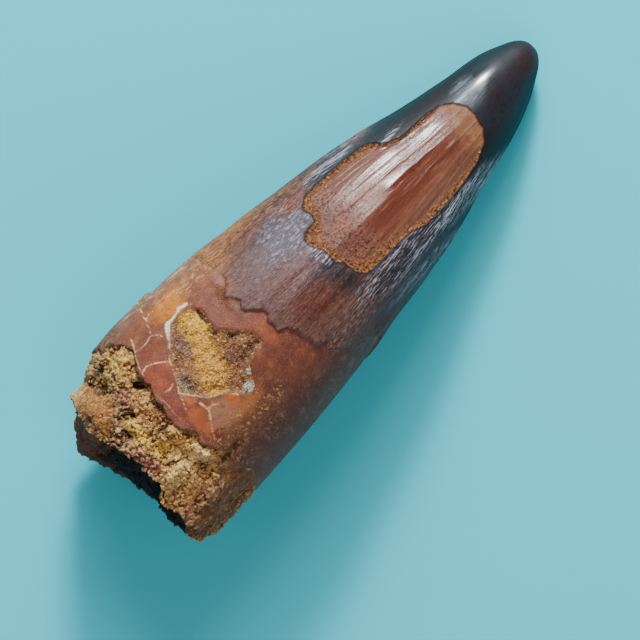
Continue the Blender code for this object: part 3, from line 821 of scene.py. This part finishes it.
sandFinish = {  # what all the sandstone has
    "underneath": (118, 74, 58),
    "roughness": 0.8,
    "dim": (104, 62, 50),
    "cloud": (92, 52, 42),
    "gap": (58, 32, 24),
    "pit": (70, 38, 28),
    "grainDim": (92, 54, 46),
    "grainPit": (90, 52, 36),
}

crustFinish = {
    "ground": (150, 98, 62),
    "spots": [
        (24.6, 6.4, 1.9, 3.3, 0.3, (244, 182, 58), 0.9), (22.7, 2.4, 2, 3.2, 0.4, (232, 168, 62), 0.9),
        (20.9, -0.4, 1.6, 2.2, 0.4, (236, 172, 68), 0.85), (27.2, 0.4, 2.8, 2.6, 0.4, (140, 88, 58), 0.9),
        (25.6, 3, 1.2, 1.6, 0.5, (170, 114, 54), 0.8), (21.3, 6.2, 0.85, 2.3, 0.25, (118, 80, 70), 0.95),
        (18.5, 2.4, 0.75, 1.7, 0.25, (124, 92, 74), 0.95), (17.6, 2.2, 0.3, 0.9, 0.4, (176, 172, 148), 0.8),
        # the dark spots from here to (26.2, -1) are painted shadow: under the skin's wall on the right and in
        # pits
        (26.5, 7.4, 0.45, 2, 0.3, (60, 34, 18), 0.9), (26, 4.4, 0.6, 0.8, 0.4, (66, 38, 22), 0.7),
        (25, 0.6, 0.7, 0.5, 0.4, (76, 44, 32), 0.8), (26.9, 2.4, 0.6, 0.5, 0.4, (72, 42, 30), 0.8),
        (28, -0.5, 0.6, 0.6, 0.4, (82, 48, 34), 0.8), (26.2, -1, 0.8, 0.4, 0.4, (78, 46, 34), 0.7),
        (23.8, -4.3, 0.95, 0.65, 0.35, (212, 202, 184), 0.9),
        (25.4, -2.8, 0.55, 0.45, 0.35, (206, 196, 178), 0.9),
    ],
    "size": 3.4,
    "contrast": 0.75,
    "light": (250, 206, 120),
}

breakFinish = {
    "ground": (190, 130, 70),
    "spots": [
        (6.6, 9.2, 2.8, 4.4, 0.35, (156, 94, 36), 0.9), (6.4, 12.4, 1.8, 0.9, 0.5, (240, 178, 104), 0.8),
        (5.6, -0.8, 1.2, 3.6, 0.5, (160, 104, 86), 0.85), (9, -5.6, 4, 2.2, 0.4, (255, 204, 128), 0.9),
        (13, -5.6, 1.5, 1.7, 0.4, (255, 206, 140), 0.95), (8, 5.4, 1.7, 1.3, 0.5, (104, 62, 40), 0.88),
        (5.2, 3.4, 1.2, 1.6, 0.5, (112, 66, 46), 0.88), (5, -9.2, 1.6, 1.4, 0.5, (124, 74, 54), 0.85),
        (12.2, -10, 1.8, 1, 0.5, (196, 140, 100), 0.7), (11.6, 13.6, 2.6, 1.2, 0.5, (214, 160, 104), 0.8),
        (14.4, 14.2, 1.6, 0.8, 0.5, (206, 140, 98), 0.7), (8.8, 2.2, 1.1, 2.4, 0.4, (250, 204, 88), 0.95),
        (9.2, -1.8, 1.7, 1.5, 0.5, (250, 196, 80), 0.9), (12.4, -2.8, 1.5, 2, 0.5, (246, 186, 96), 0.85),
        (6.9, -1.6, 0.9, 2.8, 0.5, (164, 98, 84), 0.85), (10.4, 6.8, 1.7, 1.7, 0.5, (136, 82, 62), 0.85),
        (11.9, 5.2, 0.9, 1.6, 0.4, (206, 144, 82), 0.8), (13.6, 11.2, 2, 1.8, 0.4, (236, 178, 84), 0.85),
        (10.2, 11, 1.4, 1.6, 0.4, (150, 124, 58), 0.7), (8.8, -8.4, 5, 1.6, 0.5, (222, 156, 92), 0.75),
        (9, -11, 7, 1.3, 0.5, (168, 110, 80), 0.85), (9, -13.4, 8, 2, 0.35, (116, 70, 54), 0.92),
        (15.6, -11.8, 2.4, 3.2, 0.6, (108, 68, 54), 0.85), (2.3, 8, 3, 5.4, 0.45, (70, 42, 35), 0.95),
        (3.4, -13, 0.9, 2, 0.5, (70, 40, 34), 0.8), (3.9, -9.6, 1.2, 0.7, 0.4, (54, 30, 26), 0.85),
        # the near-black spots from here on are painted shadow in the pits and under the skin's broken edge,
        # over darker stone
        (8.9, 12.6, 0.8, 1.6, 0.35, (30, 18, 14), 0.9), (10.9, 12.4, 1.1, 0.9, 0.35, (34, 24, 16), 0.9),
        (8.9, 10.6, 0.7, 1.2, 0.4, (36, 24, 16), 0.85), (10.2, 9.2, 0.8, 0.5, 0.4, (40, 28, 18), 0.85),
        (11.6, 10.2, 0.5, 0.7, 0.4, (52, 38, 22), 0.8), (13.5, 6.8, 0.8, 1.1, 0.35, (32, 20, 16), 0.9),
        (13.3, 3.2, 0.45, 1.3, 0.4, (46, 26, 22), 0.85), (13.8, -1.6, 0.35, 2.4, 0.4, (48, 24, 20), 0.8),
        (9.1, 5.6, 0.9, 0.7, 0.4, (60, 34, 30), 0.85), (7.3, 3.2, 0.6, 1.2, 0.35, (38, 22, 22), 0.9),
        (6.4, 3, 0.6, 1.2, 0.4, (92, 48, 44), 0.8), (7.1, 4.4, 0.5, 0.4, 0.3, (206, 186, 150), 0.85),
        (5.3, -1.2, 0.5, 0.7, 0.3, (200, 170, 150), 0.7), (11, 0.2, 2.4, 0.3, 0.4, (66, 34, 26), 0.8),
        (15, 12.8, 1.2, 0.6, 0.35, (104, 40, 30), 0.85), (16.3, 11.4, 0.4, 1, 0.4, (44, 24, 22), 0.9),
        (14.4, -8.8, 1.4, 0.4, 0.4, (40, 22, 20), 0.85), (11.6, -7.2, 0.8, 0.4, 0.4, (100, 58, 52), 0.8),
    ],
    "size": 2.2,
    "contrast": 0.9,
    "light": (250, 206, 126),
    "chunks": [  # share of the chunks from which it starts, colour, strength
        (0.3, (132, 78, 60), 0.45), (0.46, (232, 172, 76), 0.5), (0.66, (204, 138, 88), 0.4),
        (0.8, (252, 214, 138), 0.55),
    ],
    # painted shade in hollows, seams and crevices over dark stone, on the stone and on the skin
    "darkAndShade": (26, 15, 11),
    # painted light on the crumbs' crests
    "pale": (250, 204, 124),
    # near black: the end's dark filling, with painted shade where it is seen from above
    "end": (13, 10, 10),
    "endGrain": (44, 30, 26),
    "endRim": (126, 80, 64),
    "lowerEnd": (82, 54, 42),
    "lowerEndGrain": (150, 108, 72),
}

skinColours = {
    "crack": (226, 170, 122),
    "vein": (226, 180, 140),
    "veinDark": (160, 118, 88),
    "veinWhite": (255, 228, 196),
    "edge": (128, 80, 56),
    # painted shadow under the upper part of the skin's broken edge
    "edgeShadow": (46, 26, 20),
    "edgeLight": (150, 98, 66),
}


def drawnOut(finish, strands, times):
    # the lengthwise strands, cut that many times shorter
    return finish.vector("MULTIPLY", strands, (1, 1, times))


def enamelLook(finish, at, strands):
    # dark enamel with fine lengthwise wrinkles, their crests a little pale, with pale streaks that
    # are partly painted glints, painted sheen in places and a painted shadow line by the window
    form, between = enamelFinish, finish.between
    broad = finish.noise(1, 3, strands)
    fine = finish.noise(6.2, 4, drawnOut(finish, strands, 2), roughness=0.68)
    grain = finish.noise(3.2, 4, drawnOut(finish, strands, 9), roughness=0.7)
    mottle = finish.noise(1.3, 4, roughness=0.6)
    station = finish.part(finish.place, 0)
    thick = between(station + (mottle - 0.5) * 9, *form["thickening"])
    colour = finish.mix(thick, shade(*form["rootward"]), shade(*form["ground"]))
    colour = finish.painted(at, colour, form["spots"])
    colour = finish.mix(between(mottle, 0.5, 0.66) * 0.35, colour, shade(*form["stain"]), "MULTIPLY")
    spots = (finish.inSpots(at, form[key]) for key in ("streakyWithGlints", "paintedSheenSpots", "threaded"))
    streakyWithGlints, paintedSheenSpots, threaded = spots
    tip = between(station, *form["smoothing"])
    line = fine + (grain - 0.5) * 0.5
    nearWindow = between(finish.attribute("inWindow") + (grain - 0.5) * 0.6, -0.26, -0.03)
    colour = finish.layered(
        colour, form,
        (between(grain, 0.5, 0.38) * 0.45, "grooveAndShadow"),
        (between(fine, 0.49, 0.4) * between(streakyWithGlints, 0, 0.8, 0.3, 0.75), "grooveAndShadow"),
        (between(grain, 0.54, 0.66) * (1 - tip) * 0.2, "crest"),
        # pale streaks, partly painted glints
        (between(fine + (broad - 0.5) * 0.4, 0.53, 0.575) * streakyWithGlints * 0.95, "paleStreakAndGlint"),
        (between(line, 0.5, 0.42) * threaded * 0.75, "thread"),
        (between(line, 0.53, 0.62) * threaded * 0.45, "tan"),
        # painted sheen glints
        (between(grain + (mottle - 0.5) * 0.5, 0.52, 0.64) * paintedSheenSpots * 0.45, "sheenGlint"),
        # painted shadow line along the window's edge
        (nearWindow * 0.65, "grooveAndShadow"),
    )
    upward = between(finish.part(strands, 0), 4, 9)
    polished = finish.spot(at, *form["polished"])
    roughness = finish.either(tip, form["roughness"], finish.either(polished, *form["tipRoughness"]))
    roughness = roughness + (grain - 0.5) * 0.2 + (1 - upward) * 0.14 + nearWindow * 0.3
    height = fine * finish.either(tip, 0.09, 0) + grain * finish.either(tip, 0.07, 0) + broad * 0.02
    coat = finish.either(tip, form["coat"], finish.either(polished, *form["tipCoat"]))
    return colour, roughness, height, coat * upward * (1 - nearWindow)


def dentineLook(finish, at, strands):
    # bare dentine: smooth and streaky, with a ragged granular rim where the enamel broke away, and
    # a painted shadow line just inside the enamel's edge
    form, between = dentineFinish, finish.between
    fine = finish.noise(2.4, 4, drawnOut(finish, strands, 2.4), roughness=0.62)
    hair = finish.noise(6, 3, drawnOut(finish, strands, 3))
    grain = finish.noise(2.8, 5, roughness=0.75)
    wide = finish.noise(0.7, 3)
    inWindow = finish.attribute("inWindow")
    rough, smooth = (finish.spot(at, *form[key]) for key in ("granular", "smoothEnd"))
    corner = finish.inSpots(at, form["corners"])
    pore = between(finish.noise(2.8, 3, roughness=0.7), 0.44, 0.37) * (rough * 0.75 + 0.25)
    reach = inWindow - (grain - 0.5) * 1.8 - (wide - 0.5) * 2.4 * (1 - smooth)
    tinted = between(reach - corner * 1.3, 1, -0.1)
    rim = between(reach - corner * 0.9 + smooth * 0.3, 0.55, 0)
    rimColour = finish.layered(
        shade(*form["rim"]), form,
        (between(grain, 0.5, 0.42), "rimDarkAndShadow"),
        (between(grain, 0.54, 0.64), "rimLight"),
    )
    colour = finish.layered(
        finish.painted(at, shade(*form["ground"]), form["spots"]), form,
        (between(fine, 0.54, 0.68) * 0.22, "pale"),
        (between(fine, 0.48, 0.36) * 0.4, "line"),
        (between(grain, 0.53, 0.64) * rough * 0.5, "fleck"),
        (pore, "pore"),
        (tinted * 0.5, "rim"),
        (rim * 0.9, rimColour),
        # painted shadow line just inside the enamel's edge
        (between(inWindow + (grain - 0.5) * 0.3, 0.26, 0.08) * 0.55, "rimDarkAndShadow"),
    )
    roughness = finish.either(rim, *form["roughness"]) + (fine - 0.5) * 0.25
    roughness = roughness + tinted * 0.2 + rough * 0.08 + smooth * 0.25
    height = fine * 0.06 + hair * 0.012 + rim * grain * 0.4 - pore * 0.12 + rough * grain * 0.22
    coat = finish.either(tinted, form["coat"], 0) * (1 - rough * 0.4) * (1 - smooth)
    return colour, roughness, height, coat


def rootLook(finish, at, strands):
    # satin brick-brown skin, clouded, with cream threads and specked with sand near the lower side
    form, between = rootFinish, finish.between
    cloud = finish.noise(0.55, 6, roughness=0.68)
    fine = finish.noise(4.5, 4, roughness=0.65)
    web = finish.noise(1.5, 4, drawnOut(finish, strands, 10), roughness=0.62, distortion=0.6)
    cream, speckled, granular = (finish.inSpots(at, form[key]) for key in ("cream", "speckled", "granular"))
    speck = between(finish.noise(1.9, 5, roughness=0.78), 0.52, 0.6) * speckled
    granular = between(granular + (fine - 0.5) * 0.8, 0.4, 0.7)
    sandy = finish.mix(between(fine, 0.44, 0.6), shade(*form["sandDark"]), shade(*form["sand"]))
    colour = finish.layered(
        finish.painted(at, shade(*form["ground"]), form["spots"]), form,
        (between(cloud, 0.48, 0.62) * 0.45, "dusky"),
        (between(cloud, 0.46, 0.36) * 0.3, "ruddy"),
        (between(fine, 0.54, 0.64) * 0.28, "fleck"),
        (between(fine, 0.46, 0.36) * 0.35, "dusky"),
        (between(web + (fine - 0.5) * 0.5, 0.53, 0.6) * cream * 0.8, "creamColour"),
        (speck * 0.85, "specks"),
        (granular, sandy),
    )
    roughness = form["roughness"] + (cloud - 0.5) * 0.3 + speck * 0.3 + granular * 0.25
    height = fine * 0.06 + cloud * 0.06 + speck * 0.14 + granular * fine * 0.3
    return colour, roughness, height, 0


def sandLook(finish, at, form):
    # sandstone: each grain has its own tone, with dark gaps between
    between, form = finish.between, sandFinish | form
    coarse = finish.noise(0.9, 4, roughness=0.7)
    fine = finish.noise(4, 3, roughness=0.7)
    push = finish.vector("MULTIPLY_ADD", finish.noise(3, 2, output="Color"), (0.5, 0.5, 0.5), finish.place)
    settings = {"voronoi_dimensions": "3D", "feature": "F1"}
    sockets = {"Vector": push, "Scale": form["size"], "Randomness": 1}
    outputs = ("Distance", "Color")
    gap, own = (finish.node("ShaderNodeTexVoronoi", settings, sockets, name) for name in outputs)
    tone = finish.part(own, 0)
    amount = form["contrast"]
    colour = finish.layered(shade(*form["ground"]), form, (finish.underside(), "underneath"))
    if "chunks" in form:
        chunk = finish.attribute("chunk") + (finish.attribute("lump") - 0.5) * 0.35
        amount = (1 - finish.attribute("calm") * 0.8) * (1 - finish.underside() * 0.5) * amount
        for start, over, strength in form["chunks"]:
            strong = between(chunk, start - 0.03, start + 0.03) * amount * (strength * 1.1)
            colour = finish.mix(strong, colour, shade(*over))
    colour = finish.layered(
        finish.painted(at, colour, form["spots"]), form,
        (between(tone, 0.7, 0.95) * amount * 0.4, "light"),
        (between(tone, 0.34, 0.1) * amount * 0.5, "dim"),
        (between(coarse, 0.48, 0.36) * amount * 0.5, "cloud"),
        (between(gap, 0.45, 0.7) * amount * 0.6, "gap"),
        (between(fine, 0.45, 0.34) * 0.4, "pit"),
    )
    return colour, form["roughness"] + (fine - 0.5) * 0.2, coarse * 0.14 + fine * 0.12 - gap * 0.14, 0


glossForm = {"specular": 0.3, "coatRoughness": 0.14, "coatIor": 1.35}


def connect(finish, colour, roughness, relief, coat=None, specular=glossForm["specular"]):
    # the finished colour, roughness, millimetres of relief and coat, into the shader
    sockets = {"Strength": 1, "Distance": mm, "Height": relief}
    wires = {"Base Color": colour, "Normal": finish.node("ShaderNodeBump", None, sockets, "Normal")}
    plain = {"Specular IOR Level": specular}
    if coat:
        wires["Coat Weight"] = coat
        plain |= {"Coat Roughness": glossForm["coatRoughness"], "Coat IOR": glossForm["coatIor"]}
    (wires if isinstance(roughness, Wire) else plain)["Roughness"] = roughness
    for socket, wire in wires.items():
        finish.tree.links.new(wire.socket, finish.shader.inputs[socket])
    for socket, value in plain.items():
        finish.shader.inputs[socket].default_value = value
    print(finish.material.name + ":", len(finish.tree.nodes), "nodes")
    return finish.material


def skinFinish():
    # root skin, veins, enamel, bare dentine and sandy crust, laid over one another by the
    # distances kept in the mesh
    finish = Finish("fossilSkin")
    between, form = finish.between, skinColours
    strands = finish.attribute("strands", "Vector")
    at = finish.fromAbove(between(finish.part(strands, 0), 0.5, -5))
    looks = rootLook(finish, at, strands)

    def over(mask, colour, *rest):
        return [finish.mix(mask, looks[0], colour)] + [
            finish.either(mask, first, second) for first, second in zip(looks[1:], rest)
        ]

    def edged(name, start, end, waver=None):
        gap = finish.attribute(name)
        return between(gap + waver if waver else gap, start, end)

    ragged = (finish.noise(3.5, 4, roughness=0.65) - 0.5) * 0.5
    fine = finish.noise(6, 4, roughness=0.7)
    patchy = between(finish.noise(0.9, 3), 0.34, 0.56)
    waver = (finish.noise(1.5, 3) - 0.5) * 0.54 + (fine - 0.5) * 1.1
    crack = edged("crackGap", 0.12, -0.02, ragged * 0.5)
    looks = over(crack * patchy * 0.9, shade(*form["crack"]), 0.6, 0.06, 0)
    white = finish.inSpots(at, veinForm["white"])
    veinColour = finish.layered(
        shade(*form["veinDark"]), form,
        (between(fine, 0.4, 0.54), "vein"),
        (white * between(fine, 0.36, 0.5), "veinWhite"),
    )
    looks = over(edged("veinGap", 0.14, -0.04, waver), veinColour, 0.6, fine * 0.16 + 0.06, 0)
    looks = over(edged("pastEnamel", -0.04, 0.06), *enamelLook(finish, at, strands))
    looks = over(edged("inWindow", 0, 0.1), *dentineLook(finish, at, strands))
    looks = over(edged("inCrust", -0.06, 0.06, ragged), *sandLook(finish, at, crustFinish))
    side = finish.part(finish.place, 1)
    upper = between(side, -4, 3) * between(side, 13, 11.5)
    # the skin's broken edge: near black on the upper band, a painted shadow under the step
    edgeColour = finish.mix(upper, shade(*form["edge"]), shade(*form["edgeShadow"]))
    edgeColour = finish.mix(between(fine, 0.42, 0.62), edgeColour, shade(*form["edgeLight"]))
    looks = over(edged("pastBreak", 0.3, 0, ragged * 0.9), edgeColour, 0.8, fine * 0.2, 0)
    colour, roughness, height, coat = looks
    # painted shade in the skin's hollows, stronger on the upper band
    hollowShade = edged("hollow", 0.06, 0.4) * (upper * 0.5 + 0.25)
    return connect(finish, finish.layered(colour, breakFinish, (hollowShade, "darkAndShade")), roughness, height, coat)


def stoneFinish():
    # the sandstone of the break: painted shade in its hollows, seams and crevices, painted light on
    # its crests, and the end's dark filling, near black where seen from above with painted shade
    finish = Finish("brokenStone")
    between, form = finish.between, breakFinish
    colour, roughness, height, _ = sandLook(finish, finish.fromAbove(finish.underside()), form)
    rough = finish.noise(1.5, 5, roughness=0.7)
    lower = finish.part(finish.place, 2) + (rough - 0.5) * 14
    side = finish.part(finish.place, 1) + (rough - 0.5) * 8
    lowerEnd = finish.layered(shade(*form["lowerEnd"]), form, (between(rough, 0.44, 0.6), "lowerEndGrain"))
    # the end: near black on its upper part, painted shade over dark filling, browner below
    endColour = finish.layered(
        shade(*form["end"]), form,
        (between(rough, 0.5, 0.64), "endGrain"),
        (between(lower, 9, 3), lowerEnd),
        (between(side, 2, 7) * 0.85, "endRim"),
    )
    onEnd = between(finish.attribute("onEnd") + (rough - 0.5) * 0.8, 0.3, 0.7)
    crevice = finish.attribute("fineHollow")
    seam = finish.attribute("seam") + (rough - 0.5) * 1.2
    colour = finish.layered(
        colour, form,
        (onEnd, endColour),
        # painted shade in the hollows, seams and crevices, and painted light on the crests
        (between(finish.attribute("hollow"), 0.06, 0.42) * 0.85, "darkAndShade"),
        (between(seam, 0.5, 1) * (1 - onEnd) * 0.45, "darkAndShade"),
        (between(crevice, 0.015, 0.1) * 0.6, "darkAndShade"),
        # painted light on the crests
        (between(crevice, -0.015, -0.09) * (1 - onEnd) * 0.35, "pale"),
    )
    return connect(finish, colour, roughness, height)


grainForm = {
    "seed": 7,
    "breakCount": 1100,
    "crustCount": 1200,
    "breakSize": (0.1, 0.34),  # half the width of the smallest and largest grains, millimetres
    "crustSize": (0.09, 0.24),
    "sunk": 0.35,  # share of a grain's half width that its middle lies under the surface
    "lowest": 0.02,  # no grain reaches below this height
    "roughness": 0.75,
    "specular": 0.5,
}


def grainPieces(name, places, faces, weights, count, sizes):
    # angular grains: a 20-sided ball for each, stretched, dented and turned at random, and set
    # half into a face picked with a chance in proportion to its area times its weight
    form = grainForm
    random = np.random.default_rng(form["seed"])
    corners = places[faces]
    cross = np.cross(corners[:, 2] - corners[:, 0], corners[:, 3] - corners[:, 1])
    area = np.linalg.norm(cross, axis=1)
    normals = cross / np.maximum(area, 1e-9)[:, None]
    chance = area * weights
    picked = random.choice(len(faces), count, p=chance / chance.sum())
    u, v = random.random((2, count, 1))
    square = corners[picked]
    near, far = (square[:, a] * (1 - u) + square[:, b] * u for a, b in ((0, 1), (3, 2)))
    spots = near * (1 - v) + far * v
    half = sizes[0] + (sizes[1] - sizes[0]) * random.random(count) ** 2.2
    middles = spots - normals[picked] * (half * form["sunk"])[:, None]

    golden = (1 + 5**0.5) / 2
    ball = np.array([
        (-1, golden, 0), (1, golden, 0), (-1, -golden, 0), (1, -golden, 0), (0, -1, golden), (0, 1, golden),
        (0, -1, -golden), (0, 1, -golden), (golden, 0, -1), (golden, 0, 1), (-golden, 0, -1), (-golden, 0, 1),
    ]) / np.hypot(1, golden)
    sides = np.array([
        (0, 11, 5), (0, 5, 1), (0, 1, 7), (0, 7, 10), (0, 10, 11), (1, 5, 9), (5, 11, 4), (11, 10, 2),
        (10, 7, 6), (7, 1, 8), (3, 9, 4), (3, 4, 2), (3, 2, 6), (3, 6, 8), (3, 8, 9), (4, 9, 5), (2, 4, 11),
        (6, 2, 10), (8, 6, 7), (9, 8, 1),
    ])
    dents = 1 + 0.5 * (random.random((count, 12, 1)) - 0.5)
    shapes = ball * dents * (0.55 + 0.9 * random.random((count, 1, 3)))
    turns = np.linalg.qr(random.normal(size=(count, 3, 3)))[0]
    turns *= np.sign(np.linalg.det(turns))[:, None, None]
    shapes = np.einsum("nvi,nij->nvj", shapes, turns) * half[:, None, None] + middles[:, None]
    shapes[..., 2] = np.maximum(shapes[..., 2], form["lowest"])
    allSides = (sides[None] + 12 * np.arange(count)[:, None, None]).reshape(-1, 3)
    grains = meshFrom(name, shapes.reshape(-1, 3), allSides.tolist())
    grains.data.shade_flat()
    setAttribute(grains.data, "tone", np.repeat(random.random(count), 12))
    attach(grains, "root")
    print(name + ":", count, "grains")
    return grains


def grainFinish(name, form):
    # the sandstone's colour, lighter or darker from grain to grain
    finish = Finish(name)
    between, form = finish.between, sandFinish | form
    at = finish.fromAbove(finish.underside())
    tone = finish.attribute("tone")
    fine = finish.noise(5, 3, roughness=0.7)
    ground = finish.layered(shade(*form["ground"]), form, (finish.underside(), "underneath"))
    colour = finish.layered(
        finish.painted(at, ground, form["spots"]), form,
        (between(tone, 0.6, 1) * 0.4, "light"),
        (between(tone, 0.4, 0.05) * 0.7, "grainDim"),
        (between(fine, 0.48, 0.34) * 0.5, "grainPit"),
    )
    return connect(finish, colour, grainForm["roughness"], fine * 0.1, specular=grainForm["specular"])


skin, crustFaces = makeSkin()
skin.data.materials.append(skinFinish())
stone, breakFaces = makeStone()
stone.data.materials.append(stoneFinish())
for kind, sandFaces, form in (("break", breakFaces, breakFinish), ("crust", crustFaces, crustFinish)):
    name = kind + "Grains"
    grains = grainPieces(name, *sandFaces, grainForm[kind + "Count"], grainForm[kind + "Size"])
    grains.data.materials.append(grainFinish(name, form))

stageForm = {
    "floorSize": 3.0,
    "floor": (70, 214, 232),
    "floorRoughness": 0.8,
    "floorSpecular": 0.1,
    "eye": (-5.93, -4.94, 610),  # the camera's place, millimetres
    "turn": -45.902,  # degrees about the vertical
    "viewWidth": 90.24,  # what the camera sees this far away, millimetres
    "viewAt": 600,
    "sensor": 36,
}


def makeStage():
    # a plain square floor
    mesh = bpy.data.meshes.new("floor")
    half = stageForm["floorSize"] / 2
    corners = [(-half, -half, 0), (half, -half, 0), (half, half, 0), (-half, half, 0)]
    mesh.from_pydata(corners, [], [(0, 1, 2, 3)])
    floor = bpy.data.objects.new("floor", mesh)
    bpy.context.scene.collection.objects.link(floor)
    paper = Finish("paper")
    paper.shader.inputs["Base Color"].default_value = shade(*stageForm["floor"])
    paper.shader.inputs["Roughness"].default_value = stageForm["floorRoughness"]
    paper.shader.inputs["Specular IOR Level"].default_value = stageForm["floorSpecular"]
    floor.data.materials.append(paper.material)


def makeCamera():
    # straight down, turned so that the tip points up to the right
    lens = bpy.data.cameras.new("camera")
    lens.sensor_width = stageForm["sensor"]
    lens.lens = stageForm["sensor"] * stageForm["viewAt"] / stageForm["viewWidth"]
    camera = bpy.data.objects.new("camera", lens)
    camera.location = Vector(stageForm["eye"]) * mm
    camera.rotation_euler = (0, 0, math.radians(stageForm["turn"]))
    bpy.context.scene.collection.objects.link(camera)
    bpy.context.scene.camera = camera


lightForm = {
    "away": 0.9,  # metres
    "sky": (0.88, 0.95, 1.0),
    "skyStrength": 0.26,
    "lamps": {  # direction of each, width, height, watts, colour
        "soft": ((0.58, 0.63, 0.52), 0.52, 0.4, 4.2, (0.78, 0.9, 1.0)),
        "bright": ((0.64, 0.6, 0.48), 0.15, 0.13, 11.2, (0.86, 0.95, 1.0)),
        "sheen": ((0.53, 0.44, 0.725), 0.28, 0.22, 2.2, (1.0, 0.9, 0.8)),
        "fill": ((-0.35, -0.65, 0.7), 1.4, 1.2, 3.6, (1.0, 1.0, 1.0)),
    },
}


def makeLights():
    # a soft light beyond the tip with a small bright one in its middle, a higher one for the
    # sheen on the enamel, a wide dim one opposite, and a dim even sky
    form = lightForm
    sky = bpy.data.worlds.new("sky")
    sky.use_nodes = True
    sky.node_tree.nodes["Background"].inputs["Color"].default_value = (*form["sky"], 1)
    sky.node_tree.nodes["Background"].inputs["Strength"].default_value = form["skyStrength"]
    bpy.context.scene.world = sky
    for nearer, (name, (towards, width, height, watts, colour)) in enumerate(form["lamps"].items()):
        light = bpy.data.lights.new(name, "AREA")
        light.shape = "RECTANGLE"
        light.size, light.size_y, light.energy, light.color = width, height, watts, colour
        lamp = bpy.data.objects.new(name, light)
        aim = Vector(towards).normalized()
        place = Matrix.Translation(aim * (form["away"] - 0.01 * nearer))
        lamp.matrix_world = place @ aim.to_track_quat("Z", "Y").to_matrix().to_4x4()
        bpy.context.scene.collection.objects.link(lamp)


makeStage()
makeCamera()
makeLights()
